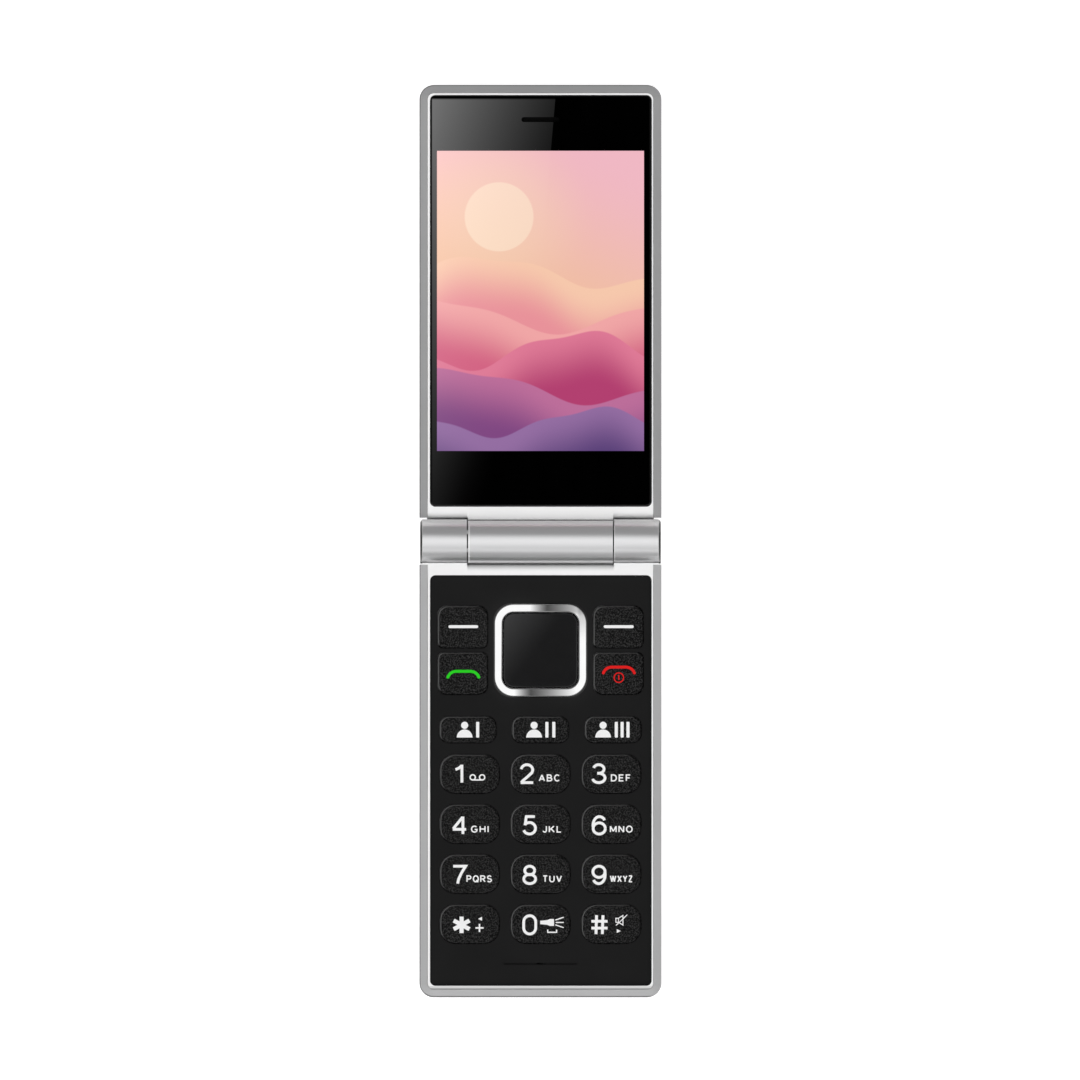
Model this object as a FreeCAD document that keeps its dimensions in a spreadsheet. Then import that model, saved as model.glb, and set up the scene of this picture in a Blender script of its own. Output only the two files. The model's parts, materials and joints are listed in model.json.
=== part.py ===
import FreeCAD, Part
import math
import os
import Sketcher

Vector = FreeCAD.Vector

DOC = FreeCAD.newDocument("flip_phone")
SHEET = DOC.addObject("Spreadsheet::Sheet", "sizes")

# Sizes in millimetres. The phone lies open on its back: X to the right, Y along the lid, Z up.
SIZES = [
    ("phone_width", "54.0", "across both halves"),
    ("half_length", "101.8", "hinge axis to the free end of each half"),
    ("corner_radius", "3.2", "free corners and back edges"),
    ("rim_wall", "1.8", "thickness of the silver border wall"),
    ("rim_slope", "1.7", "sloping flank on the border"),
    ("ledge_width", "1.0", "step that carries a front frame"),
    ("back_wall", "1.2", "back wall of each shell"),
    ("end_wall", "1.8", "wall of each shell beside the hinge"),
    ("fit_gap", "0.05", "gap round glued and pushed-in pieces"),
    ("close_gap", "0.4", "gap between the halves when shut"),
    ("end_roll", "1.4", "rolled edge facing the other half's knuckle"),
    ("barrel_radius", "4.875", "hinge barrel"),
    ("barrel_gap", "0.35", "gap between barrel and the other half"),
    ("knuckle_share", "0.6", "lid's knuckle, share of the width"),
    ("knuckle_gap", "0.2", "gap between neighbouring knuckles"),
    ("knuckle_inset", "0.15", "outer knuckle end behind the phone's side"),
    ("knuckle_edge", "0.5", "bevel of the outer knuckle ends"),
    ("cartridge_radius", "3.1", "hinge cartridge"),
    ("cartridge_key", "0.8", "rib that stops the cartridge turning"),
    ("shaft_radius", "1.6", "turning shaft in the cartridge"),
    ("shaft_reach", "5.4", "depth of the shaft in the cartridge"),
    ("head_side", "4.4", "square head of the shaft"),
    ("head_length", "7.0", "length of the square head"),
    ("bushing_radius", "2.5", "hollow bushing"),
    ("bushing_bore", "1.7", "hole for the flat cable"),
    ("bushing_share", "0.36", "bushing in each knuckle, share of an outer knuckle"),
    ("run_gap", "0.05", "radial gap of turning and sliding fits"),
    ("cap_radius", "3.4", "end cap of the barrel"),
    ("cap_thick", "0.7", "end cap of the barrel"),
    ("cable_thick", "0.12", "flat cable"),
    ("cable_width", "4.6", "flat cable in the lid"),
    ("cable_neck", "2.4", "flat cable through the bushing"),
    ("cable_land", "3.0", "flat cable lying on the lid board"),
    ("cable_lead", "2.0", "flat cable straight before a board"),
    ("cable_bend", "1.6", "bend of the flat cable behind the lid frame"),
    ("lip_width", "0.55", "white lip round the window and the keypad"),
    ("insert_radius", "1.1", "corners of the lens and the keypad panel"),
    ("lens_start", "7.8", "hinge axis to the lens"),
    ("lens_recess", "0.2", "lens below the lip"),
    ("lens_thick", "0.9", "lens"),
    ("lip_thick", "0.4", "frame between lens and display"),
    ("display_side", "1.55", "lens edge beside the lit area"),
    ("display_end", "12.33", "lens edge above and below the lit area"),
    ("display_border", "1.0", "display panel edge at the sides"),
    ("display_foot", "2.0", "display panel edge at top and bottom"),
    ("display_thick", "2.1", "display panel"),
    ("tray_thick", "0.3", "display tray"),
    ("lid_space", "3.0", "room for parts under the display tray"),
    ("rib_share", "0.7", "lid rib, share of the border wall"),
    ("rib_reach", "0.95", "lid rib, share of the display tray's length"),
    ("tray_window", "0.3", "each opening in the display tray, share of its length"),
    ("tray_window_place", "0.45", "that opening off the middle, share of half the tray"),
    ("lid_board_share", "0.75", "lid board, share of the display tray's length"),
    ("chip_place", "0.4", "chips off the lid board's middle, share of half the tray"),
    ("foot_place", "0.7", "feet off the lid board's middle, share of half the tray"),
    ("frame_step", "1.3", "lid frame round the display panel"),
    ("slot_width", "8.5", "earpiece slot"),
    ("slot_height", "1.1", "earpiece slot"),
    ("slot_drop", "5.37", "earpiece slot below the lens end"),
    ("slot_play", "0.25", "frame opening beyond the earpiece slot"),
    ("receiver_width", "12.0", "earpiece receiver"),
    ("receiver_height", "6.4", "earpiece receiver"),
    ("receiver_thick", "2.4", "earpiece receiver"),
    ("camera_side", "6.6", "camera module"),
    ("camera_thick", "3.2", "camera module"),
    ("camera_window_radius", "4.0", "camera window"),
    ("camera_window_thick", "0.7", "camera window"),
    ("iris_share", "0.6", "hole behind the camera window, share of its radius"),
    ("camera_barrel_share", "0.55", "camera barrel, share of the window's radius"),
    ("camera_middle", "12.3", "hinge axis to the camera"),
    ("torch_offset", "10.0", "torch beside the camera"),
    ("torch_radius", "1.7", "torch lens"),
    ("torch_side", "2.6", "torch light body"),
    ("torch_thick", "0.9", "torch light body"),
    ("panel_start", "7.65", "hinge axis to the keypad panel"),
    ("panel_end", "2.65", "keypad panel to the free end"),
    ("panel_recess", "0.6", "keypad panel below the lip"),
    ("panel_thick", "1.0", "keypad panel"),
    ("panel_ledge", "1.2", "base frame under the keypad panel"),
    ("window_inset", "1.2", "opening of the base frame inside the panel's sides"),
    ("key_rise", "0.45", "key top above the keypad panel"),
    ("key_gap", "0.2", "gap round each key"),
    ("key_play", "0.05", "key flange below the panel"),
    ("key_flange", "0.6", "thickness of the key flange"),
    ("key_skirt", "0.45", "key flange beyond the key"),
    ("key_float", "0.35", "key above its rubber pad"),
    ("pad_height", "0.2", "rubber pad under each key"),
    ("pad_inset", "1.6", "rubber pad inside the key outline"),
    ("mat_thick", "0.35", "rubber mat"),
    ("plunger_length", "0.55", "rubber plunger"),
    ("plunger_side", "1.8", "rubber plunger"),
    ("dome_play", "0.05", "plunger above the dome"),
    ("dome_height", "0.15", "dome"),
    ("dome_side", "3.6", "four-legged dome"),
    ("film_thick", "0.1", "dome sheet film"),
    ("board_thick", "0.8", "main circuit board and lid board"),
    ("holder_thick", "1.4", "SIM card holder"),
    ("sim_share", "0.4", "SIM card holder, share of the battery's width"),
    ("card_share", "0.82", "card slot, share of the SIM card holder"),
    ("contact_share", "0.4", "contact opening, share of the SIM card holder"),
    ("battery_thick", "3.7", "battery"),
    ("battery_inset", "6.0", "battery narrower than its cover"),
    ("bay_rest", "10.3", "battery bay to the free end"),
    ("battery_play", "0.15", "gap round the battery"),
    ("cover_thick", "1.2", "battery cover"),
    ("cover_inset", "9.4", "battery cover narrower than the phone"),
    ("cover_gap", "0.1", "gap round the battery cover"),
    ("rail_reach", "0.7", "side rail of the battery cover"),
    ("rail_thick", "0.4", "side rail of the battery cover"),
    ("bay_share", "0.389", "battery bay's start, share of the half length"),
    ("bay_floor", "0.8", "floor between battery and main board"),
    ("bay_wall", "1.6", "wall between battery bay and parts"),
    ("board_start", "13.2", "hinge axis to the main board"),
    ("board_gap", "0.2", "gap round the main board"),
    ("side_margin", "1.8", "outer keys from the panel's side"),
    ("column_share", "0.3205", "number columns, share of the panel width"),
    ("column_gap", "2.7", "panel between number keys in a row"),
    ("row_share", "0.12197", "number rows, share of the panel length"),
    ("row_gap", "2.66", "panel between number rows"),
    ("number_round", "0.39", "number key corners, share of the key height"),
    ("number_share", "0.48415", "first number row, share of the panel length"),
    ("memory_column_share", "0.3286", "memory keys side by side, share of the panel width"),
    ("memory_gap", "3.75", "panel between memory keys"),
    ("memory_height_share", "0.0623", "memory key height, share of the panel length"),
    ("memory_round", "0.35", "memory key corners, share of the key height"),
    ("memory_share", "0.37607", "memory row, share of the panel length"),
    ("soft_share", "0.11366", "soft row to call row, share of the panel length"),
    ("soft_gap", "1.2", "panel between soft row and call row"),
    ("nav_share", "0.1823", "navigation ring, share of the panel length"),
    ("ring_trim", "0.2", "ring shorter than the two rows beside it"),
    ("ring_gap", "1.55", "panel between the ring and its neighbours"),
    ("lip_share", "0.94481", "raised lip, share of the panel length"),
    ("soft_big_radius", "1.9", "outer corners of these keys"),
    ("soft_small_radius", "1.1", "inner corners of these keys"),
    ("ring_radius", "3.9", "navigation ring corners"),
    ("ring_band", "1.75", "width of the navigation ring"),
    ("ring_rise", "0.55", "navigation ring above the panel"),
    ("ring_flange", "0.4", "flange under the navigation ring"),
    ("ring_float", "0.35", "room for the ring to tilt"),
    ("seat_thick", "0.4", "rubber seat under the ring"),
    ("seat_band", "1.9", "width of the rubber seat"),
    ("middle_gap", "0.2", "gap round the middle key"),
    ("middle_thick", "2.0", "middle key"),
    ("middle_rise", "0.35", "middle key above the panel"),
    ("middle_stem", "1.4", "half the stem under the middle key"),
    ("lip_length", "16.4", "raised lip under the 0 key"),
    ("lip_run", "1.5", "slope of the raised lip"),
    ("lip_rise", "0.12", "height of the raised lip"),
    ("mic_slot", "0.4", "slot behind the raised lip"),
    ("mic_side", "3.8", "microphone"),
    ("hook_width", "8.0", "snap hook at the free end"),
    ("hook_reach", "0.6", "snap hook into the border wall"),
    ("hook_thick", "0.8", "snap hook at the free end"),
    ("screw_radius", "0.7", "screw shank"),
    ("screw_head_radius", "1.35", "screw head"),
    ("screw_head", "0.8", "screw head"),
    ("screw_gap", "0.05", "gap round screw shanks"),
    ("base_screw_length", "5.6", "base screw shank"),
    ("lid_screw_length", "4.0", "lid screw shank"),
    ("boss_radius", "1.9", "screw bosses"),
    ("screw_inset", "5.4", "lid screws from the sides"),
    ("boss_top_row", "10.4", "hinge axis to the first screws"),
    ("magnet_row", "5.8", "closing magnet from the free end"),
    ("head_floor", "2.3", "seat of the base screw heads above the back"),
    ("plug_thick", "1.0", "plug over a screw"),
    ("port_width", "8.94", "charging port"),
    ("port_height", "3.16", "charging port"),
    ("port_depth", "7.3", "charging port"),
    ("port_wall", "0.3", "charging port shell"),
    ("port_inset", "0.25", "port mouth behind the free end"),
    ("port_gap", "0.3", "gap round the port mouth"),
    ("slot_end", "0.49", "round end of the port and the earpiece slot, share of the height"),
    ("tongue_width", "6.6", "tongue in the charging port"),
    ("tongue_thick", "0.7", "tongue in the charging port"),
    ("speaker_width", "15.0", "loudspeaker"),
    ("speaker_height", "11.0", "loudspeaker"),
    ("speaker_thick", "3.2", "loudspeaker"),
    ("speaker_slot", "0.8", "sound slot width"),
    ("speaker_slot_length", "8.0", "sound slot length"),
    ("speaker_slot_pitch", "1.8", "sound slots side by side"),
    ("motor_radius", "4.0", "vibration motor"),
    ("motor_thick", "2.7", "vibration motor"),
    ("motor_place", "0.6", "motor off the middle, share of the soft keys' place"),
    ("can_place", "0.6", "shield cans off the middle, share of their width"),
]

# Straight steps in each corner of a key, and sides of a small fastener
CORNER_STEPS = 4
SCREW_SIDES = 8


class Size:
    """A length kept both as a number and as an expression on the sheet."""

    def __init__(self, text, number):
        self.text = text
        self.number = number

    def join(self, sign, other, number, swap=False):
        left, right = (other, self) if swap else (self, other)
        return Size("(%s %s %s)" % (left.text, sign, right.text), number)

    def __add__(self, other):
        other = as_size(other)
        return self.join("+", other, self.number + other.number)

    def __radd__(self, other):
        return as_size(other) + self

    def __sub__(self, other):
        other = as_size(other)
        return self.join("-", other, self.number - other.number)

    def __rsub__(self, other):
        return as_size(other) - self

    def __mul__(self, other):
        other = as_size(other)
        return self.join("*", other, self.number * other.number)

    def __rmul__(self, other):
        return as_size(other) * self

    def __truediv__(self, other):
        other = as_size(other)
        return self.join("/", other, self.number / other.number)

    def __neg__(self):
        return Size("(0 - %s)" % self.text, -self.number)


class Sizes:
    """Holds one Size for each named cell of the sheet."""


def as_size(value):
    if isinstance(value, Size):
        return value
    return Size(repr(value), float(value))


dim = Sizes()
for row, (alias, number, meaning) in enumerate(SIZES, start=1):
    SHEET.set("A%d" % row, meaning)
    SHEET.set("B%d" % row, number)
    SHEET.setAlias("B%d" % row, alias)
    setattr(dim, alias, Size("sizes." + alias, float(number)))
DOC.recompute()

NODES = []
CUTS = []
MANY_HOLED = ("keypad_panel", "keypad_rubber_mat", "dome_sheet")


# Building blocks

def bind(thing, path, size):
    thing.setExpression(path, as_size(size).text)


def new_body(label):
    body = DOC.addObject("PartDesign::Body", label)
    body.Label = label
    return body


def new_sketch(body, plane, centre, level):
    """Sketch on an origin plane: XY looks down, YZ looks from the right, XZ from the free end."""
    sketch = body.newObject("Sketcher::SketchObject", body.Name + "_sketch")
    role = plane + "_Plane"
    support = [item for item in body.Origin.OriginFeatures if item.Role == role][0]
    sketch.AttachmentSupport = (support, [""])
    sketch.MapMode = "FlatFace"
    bind(sketch, "AttachmentOffset.Base.x", centre[0])
    bind(sketch, "AttachmentOffset.Base.y", centre[1])
    bind(sketch, "AttachmentOffset.Base.z", -as_size(level) if plane == "XZ" else level)
    return sketch


def hold(sketch, kind, arguments, size):
    """Adds one dimension to a sketch and ties it to the sheet."""
    size = as_size(size)
    index = sketch.addConstraint(Sketcher.Constraint(kind, *arguments, size.number))
    sketch.setExpression("Constraints[%d]" % index, size.text)


def rectangle(body, width, height, radii=None, centre=(0, 0), level=0, plane="XY"):
    """Rectangle about its centre. Radii run from lower right round to lower left, None is square."""
    sketch = new_sketch(body, plane, centre, level)
    width = as_size(width)
    height = as_size(height)
    if radii is None or not isinstance(radii, tuple):
        radii = (radii, radii, radii, radii)
    half_x = width.number / 2
    half_y = height.number / 2
    corner = [(half_x, -half_y), (half_x, half_y), (-half_x, half_y), (-half_x, -half_y)]
    along = [(1, 0), (0, 1), (-1, 0), (0, -1)]
    trim = [0.0 if radius is None else radius.number for radius in radii]
    for side in range(4):
        begin = corner[side - 1]
        finish = corner[side]
        step = along[side]
        first = Vector(begin[0] + step[0] * trim[side - 1], begin[1] + step[1] * trim[side - 1], 0)
        last = Vector(finish[0] - step[0] * trim[side], finish[1] - step[1] * trim[side], 0)
        sketch.addGeometry(Part.LineSegment(first, last), False)
    arcs = {}
    for turn in range(4):
        if radii[turn] is None:
            continue
        after = along[(turn + 1) % 4]
        before = along[turn]
        centre_x = corner[turn][0] + (after[0] - before[0]) * trim[turn]
        centre_y = corner[turn][1] + (after[1] - before[1]) * trim[turn]
        circle = Part.Circle(Vector(centre_x, centre_y, 0), Vector(0, 0, 1), trim[turn])
        start = math.radians(90 * turn - 90)
        arcs[turn] = sketch.addGeometry(Part.ArcOfCircle(circle, start, start + math.pi / 2), False)
    for side in range(4):
        sketch.addConstraint(Sketcher.Constraint("Vertical" if side % 2 else "Horizontal", side))
    for turn in range(4):
        follower = (turn + 1) % 4
        if turn in arcs:
            sketch.addConstraint(Sketcher.Constraint("Tangent", turn, 2, arcs[turn], 1))
            sketch.addConstraint(Sketcher.Constraint("Tangent", arcs[turn], 2, follower, 1))
            hold(sketch, "Radius", (arcs[turn],), radii[turn])
        else:
            sketch.addConstraint(Sketcher.Constraint("Coincident", turn, 2, follower, 1))
    hold(sketch, "DistanceY", (0, 1, -1, 1), height / 2)
    hold(sketch, "DistanceX", (-1, 1, 1, 1), width / 2)
    hold(sketch, "DistanceY", (-1, 1, 2, 1), height / 2)
    hold(sketch, "DistanceX", (3, 1, -1, 1), width / 2)
    return sketch


def disc(body, radius, centre=(0, 0), level=0, plane="XY"):
    sketch = new_sketch(body, plane, centre, level)
    radius = as_size(radius)
    sketch.addGeometry(Part.Circle(Vector(0, 0, 0), Vector(0, 0, 1), radius.number), False)
    sketch.addConstraint(Sketcher.Constraint("Coincident", 0, 3, -1, 1))
    hold(sketch, "Radius", (0,), radius)
    return sketch


def hold_corner(sketch, line, kind, axis, size):
    """Fixes one coordinate of the start of a line, on either side of the sketch axis."""
    if abs(size.number) < 1e-9:
        sketch.addConstraint(Sketcher.Constraint("PointOnObject", line, 1, axis))
    elif size.number > 0:
        hold(sketch, kind, (-1, 1, line, 1), size)
    else:
        hold(sketch, kind, (line, 1, -1, 1), -size)


def polygon(body, points, centre=(0, 0), level=0, plane="XY"):
    sketch = new_sketch(body, plane, centre, level)
    points = [(as_size(across), as_size(up)) for across, up in points]
    spots = [Vector(across.number, up.number, 0) for across, up in points]
    count = len(spots)
    for index in range(count):
        sketch.addGeometry(Part.LineSegment(spots[index], spots[(index + 1) % count]), False)
    for index in range(count):
        sketch.addConstraint(Sketcher.Constraint("Coincident", index, 2, (index + 1) % count, 1))
    for index, (across, up) in enumerate(points):
        hold_corner(sketch, index, "DistanceX", -2, across)
        hold_corner(sketch, index, "DistanceY", -1, up)
    return sketch


def stepped_corners(width, height, radii):
    """Rectangle about its centre whose corner arcs are a few straight steps, from lower right round."""
    points = []
    for turn, (right, up) in enumerate([(1, -1), (1, 1), (-1, 1), (-1, -1)]):
        radius = radii[turn]
        for step in range(CORNER_STEPS + 1):
            angle = math.radians(90 * (turn - 1 + step / CORNER_STEPS))
            points.append(((width / 2 - radius) * right + radius * round(math.cos(angle), 6),
                           (height / 2 - radius) * up + radius * round(math.sin(angle), 6)))
    return points


def screw_outline(body, radius, spot, level):
    """Outline of a screw with room to spare, with the sides of a screw."""
    turns = [math.radians(360 * side / SCREW_SIDES) for side in range(SCREW_SIDES)]
    points = [(radius * round(math.cos(turn), 6), radius * round(math.sin(turn), 6)) for turn in turns]
    return polygon(body, points, spot, level)


def pad(body, sketch, length, reverse=False):
    feature = body.newObject("PartDesign::Pad", body.Name + "_pad")
    feature.Profile = sketch
    feature.Length = as_size(length).number
    bind(feature, "Length", length)
    feature.Reversed = reverse
    feature.Refine = body.Label not in MANY_HOLED
    return feature


def pocket(body, sketch, depth, reverse=False):
    """Cuts against the sketch normal, or along it when reversed."""
    before = body.Tip
    feature = body.newObject("PartDesign::Pocket", body.Name + "_pocket")
    feature.Profile = sketch
    feature.Length = as_size(depth).number
    bind(feature, "Length", depth)
    feature.Reversed = reverse
    feature.Refine = body.Label not in MANY_HOLED
    CUTS.append((before, feature))
    return feature


def edges_of(feature, wanted):
    return ["Edge%d" % number for number, edge in enumerate(feature.Shape.Edges, start=1) if wanted(edge)]


def fillet(body, radius, wanted):
    DOC.recompute([body])
    base = body.Tip
    feature = body.newObject("PartDesign::Fillet", body.Name + "_fillet")
    feature.Base = (base, edges_of(base, wanted))
    feature.Radius = as_size(radius).number
    bind(feature, "Radius", radius)
    return feature


def chamfer(body, width, wanted):
    DOC.recompute([body])
    base = body.Tip
    feature = body.newObject("PartDesign::Chamfer", body.Name + "_chamfer")
    feature.Base = (base, edges_of(base, wanted))
    feature.Size = as_size(width).number
    bind(feature, "Size", width)
    return feature


def repeated(body, originals, step_x, count_x, step_y, count_y):
    """Repeats features along X and back along Y."""
    pattern = body.newObject("PartDesign::LinearPattern", body.Name + "_pattern")
    pattern.Originals = originals
    axes = {item.Role: item for item in body.Origin.OriginFeatures}
    pattern.Direction = (axes["X_Axis"], [""])
    pattern.Mode = "Spacing"
    pattern.Occurrences = count_x
    pattern.Spacings = [-1.0] * (count_x - 1)
    bind(pattern, "Offset", step_x)
    pattern.Direction2 = (axes["Y_Axis"], [""])
    pattern.Mode2 = "Spacing"
    pattern.Reversed2 = True
    pattern.Occurrences2 = count_y
    pattern.Spacings2 = [-1.0] * (count_y - 1)
    bind(pattern, "Offset2", step_y)
    pattern.Refine = False
    body.Tip = pattern
    return pattern


def near(value, size):
    return abs(value - as_size(size).number) < 1e-4


def at_level(level):
    """Test for edges that lie wholly at one height."""
    def test(edge):
        return all(near(vertex.Z, level) for vertex in edge.Vertexes)
    return test


def block(label, centre, low, width, height, thick):
    """Plain box about a centre in plan, standing on a level."""
    box = DOC.addObject("Part::Box", label)
    box.Label = label
    bind(box, "Length", width)
    bind(box, "Width", height)
    bind(box, "Height", thick)
    bind(box, "Placement.Base.x", as_size(centre[0]) - as_size(width) / 2)
    bind(box, "Placement.Base.y", as_size(centre[1]) - as_size(height) / 2)
    bind(box, "Placement.Base.z", low)
    return box


def rod(label, radius, length, start, along="Z"):
    """Round bar from a start point along Z or X."""
    bar = DOC.addObject("Part::Cylinder", label)
    bar.Label = label
    bind(bar, "Radius", radius)
    bind(bar, "Height", length)
    if along == "X":
        bar.Placement = FreeCAD.Placement(Vector(0, 0, 0), FreeCAD.Rotation(Vector(0, 1, 0), 90))
    bind(bar, "Placement.Base.x", start[0])
    bind(bar, "Placement.Base.y", start[1])
    bind(bar, "Placement.Base.z", start[2])
    return bar


def prism(label, radius, length, start):
    """Upright bar with a few flat sides, for small hidden fasteners."""
    bar = DOC.addObject("Part::Prism", label)
    bar.Label = label
    bar.Polygon = SCREW_SIDES
    bind(bar, "Circumradius", radius)
    bind(bar, "Height", length)
    bind(bar, "Placement.Base.x", start[0])
    bind(bar, "Placement.Base.y", start[1])
    bind(bar, "Placement.Base.z", start[2])
    return bar


def joined(label, pieces):
    whole = DOC.addObject("Part::MultiFuse", label)
    whole.Label = label
    whole.Shapes = pieces
    return whole


def without(label, base, tool):
    rest = DOC.addObject("Part::Cut", label)
    rest.Label = label
    rest.Base = base
    rest.Tool = tool
    return rest


def group(label, pieces):
    """Separate equal pieces kept together under one name."""
    whole = DOC.addObject("Part::Compound", label)
    whole.Label = label
    whole.Links = pieces
    return whole


def keep(thing):
    NODES.append(thing)
    return thing


# Levels of the base, stacked from the back to the keypad lip
battery_z = dim.cover_thick + dim.battery_play
holder_z = battery_z + dim.battery_thick + dim.battery_play
board_z = holder_z + dim.holder_thick
board_top = board_z + dim.board_thick
dome_top = board_top + dim.film_thick + dim.dome_height
plunger_z = dome_top + dim.dome_play
mat_z = plunger_z + dim.plunger_length
mat_top = mat_z + dim.mat_thick
pad_top = mat_top + dim.pad_height
flange_z = pad_top + dim.key_float
flange_top = flange_z + dim.key_flange
panel_z = flange_top + dim.key_play
panel_top = panel_z + dim.panel_thick
rim_z = panel_top + dim.panel_recess
axis_z = rim_z + dim.close_gap / 2

# Levels of the lid, stacked from the lip down to its back
lens_top = rim_z - dim.lens_recess
lens_z = lens_top - dim.lens_thick
display_top = lens_z - dim.lip_thick - dim.fit_gap
display_z = display_top - dim.display_thick
tray_z = display_z - dim.tray_thick
lid_inside_z = tray_z - dim.lid_space
lid_back_z = lid_inside_z - dim.back_wall

# Places in plan
half_width = dim.phone_width / 2
open_end = dim.barrel_radius + dim.barrel_gap
frame_half = half_width - dim.rim_wall
hollow_half = frame_half - dim.ledge_width
frame_end = dim.half_length - dim.rim_wall
hollow_start = open_end + dim.end_wall
hollow_end = frame_end - dim.ledge_width
insert_half = frame_half - dim.lip_width
lens_end = frame_end - dim.lip_width
panel_stop = dim.half_length - dim.panel_end
panel_width = insert_half * 2
panel_length = panel_stop - dim.panel_start
centre_knuckle = dim.phone_width * dim.knuckle_share
base_frame_z = panel_z - dim.panel_ledge
lid_frame_z = lens_z - dim.lip_thick - dim.frame_step

# Display, battery and screw places
display_width = insert_half * 2 - dim.display_side * 2
display_height = lens_end - dim.lens_start - dim.display_end * 2
display_middle = (dim.lens_start + lens_end) / 2
slot_middle = lens_end - dim.slot_drop
cover_width = dim.phone_width - dim.cover_inset
battery_width = cover_width - dim.battery_inset
bay_start = dim.half_length * dim.bay_share
battery_height = dim.half_length - bay_start - dim.bay_rest - dim.battery_play * 2
boss_offset = dim.phone_width / 4
hook_offset = dim.phone_width / 4

# Keypad, spread over its panel
number_pitch_x = panel_width * dim.column_share
number_width = number_pitch_x - dim.column_gap
number_pitch_y = panel_length * dim.row_share
number_height = number_pitch_y - dim.row_gap
number_radius = number_height * dim.number_round
number_start = dim.panel_start + panel_length * dim.number_share
memory_pitch = panel_width * dim.memory_column_share
memory_width = memory_pitch - dim.memory_gap
memory_height = panel_length * dim.memory_height_share
memory_radius = memory_height * dim.memory_round
memory_row = dim.panel_start + panel_length * dim.memory_share
soft_pitch = panel_length * dim.soft_share
soft_height = soft_pitch - dim.soft_gap
nav_row = dim.panel_start + panel_length * dim.nav_share
ring_side = soft_pitch * 2 - dim.ring_trim
soft_width = (panel_width - ring_side) / 2 - dim.side_margin - dim.ring_gap
soft_offset = insert_half - dim.side_margin - soft_width / 2
lip_row = dim.panel_start + panel_length * dim.lip_share

LID = 1
BASE = -1


def free_corners(side, radius):
    """Rounded corners at the free end, square ones at the hinge."""
    if side == LID:
        return (None, radius, radius, None)
    return (radius, None, None, radius)


def span(side, start, end):
    """Middle and length along Y between two distances from the hinge axis."""
    start = as_size(start)
    end = as_size(end)
    middle = (start + end) / 2
    return (middle if side == LID else -middle), end - start


def plan(body, side, half, start, end, radii, level):
    """Rectangle in plan, centred on X, between two distances from the hinge axis."""
    middle, length = span(side, start, end)
    return rectangle(body, as_size(half) * 2, length, radii, (0, middle), level)


# Shells

def outer_form(body, side, back):
    """Slab with the sloping silver border and rounded back edges."""
    pad(body, plan(body, side, half_width, open_end, dim.half_length,
                   free_corners(side, dim.corner_radius), back), rim_z - back)
    hinge_face = side * open_end.number

    def border(level):
        def test(edge):
            on_face = all(abs(vertex.Y - hinge_face) < 1e-4 for vertex in edge.Vertexes)
            return at_level(level)(edge) and not on_face
        return test

    chamfer(body, dim.rim_slope, border(rim_z))
    fillet(body, dim.corner_radius, border(back))


def hook_outline(body, side, place, grow, level):
    """Outline of one snap hook, seen from the front, with room to spare all round."""
    middle, length = span(side, frame_end - dim.hook_reach - grow, frame_end + dim.hook_reach + grow)
    return rectangle(body, dim.hook_width + as_size(grow) * 2, length, None,
                     (hook_offset * place, middle), level)


def frame_seat(body, side, seat_z):
    """Opening for the front frame, which runs out through the hinge end, and slots for its hooks."""
    overrun = dim.barrel_radius
    radius = dim.corner_radius - dim.rim_wall
    pocket(body, plan(body, side, frame_half, overrun, frame_end,
                      free_corners(side, radius), rim_z), rim_z - seat_z)
    for place in (1, -1):
        pocket(body, hook_outline(body, side, place, dim.run_gap, seat_z + dim.hook_thick + dim.run_gap),
               dim.hook_thick + dim.run_gap)


def barrel_shelf(body, side):
    """Shelf from a shell's end wall under the hinge barrel, which closes the gap from below."""
    top = axis_z - dim.barrel_radius - dim.barrel_gap
    pad(body, plan(body, side, half_width - dim.rim_slope, dim.barrel_radius / 2, hollow_start, None,
                   top - dim.back_wall), dim.back_wall)


cover_half = cover_width / 2
cover_start = bay_start - dim.bay_wall
channel_top = dim.cover_thick + dim.cover_gap
bay_half = battery_width / 2 + dim.battery_play
bay_length = battery_height + dim.battery_play * 2
bay_end = bay_start + bay_length
rail_z = (dim.cover_thick - dim.rail_thick) / 2
hole_radius = dim.screw_radius + dim.screw_gap
base_screw_spots = [(boss_offset, -dim.boss_top_row), (-boss_offset, -dim.boss_top_row)]
head_seat = dim.head_floor + dim.screw_head
column_top = head_seat + dim.back_wall
column_side = dim.boss_radius * 2 + dim.back_wall
port_z = board_z - dim.port_height / 2
port_mouth = dim.half_length - dim.port_inset
speaker_spot = (-soft_offset / 2, -nav_row)
connector_width = battery_width / 4
slot_count = 5

shell = new_body("base_rear_shell")
outer_form(shell, BASE, as_size(0))
frame_seat(shell, BASE, base_frame_z)
barrel_shelf(shell, BASE)
pocket(shell, plan(shell, BASE, hollow_half, hollow_start, hollow_end, None, base_frame_z),
       base_frame_z - board_z)
pocket(shell, plan(shell, BASE, hollow_half, hollow_start, dim.board_start, None, board_z),
       board_z - dim.back_wall)
pocket(shell, plan(shell, BASE, hollow_half - dim.ledge_width, dim.board_start,
                   cover_start, None, board_z), board_z - dim.back_wall)
pocket(shell, plan(shell, BASE, dim.port_width / 2 + dim.port_gap * 4, bay_end + dim.bay_wall,
                   hollow_end - dim.board_gap, None, board_z),
       dim.port_height + dim.port_gap)
for spot in base_screw_spots:
    pad(shell, rectangle(shell, column_side, column_side, None, spot, 0), column_top)
pocket(shell, plan(shell, BASE, cover_half + dim.cover_gap, cover_start,
                   dim.half_length + dim.rim_wall, None, channel_top), channel_top)
pocket(shell, plan(shell, BASE, cover_half + dim.rail_reach + dim.cover_gap, cover_start,
                   dim.half_length + dim.rim_wall, None, rail_z + dim.rail_thick + dim.cover_gap),
       dim.rail_thick + dim.cover_gap * 2)
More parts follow.
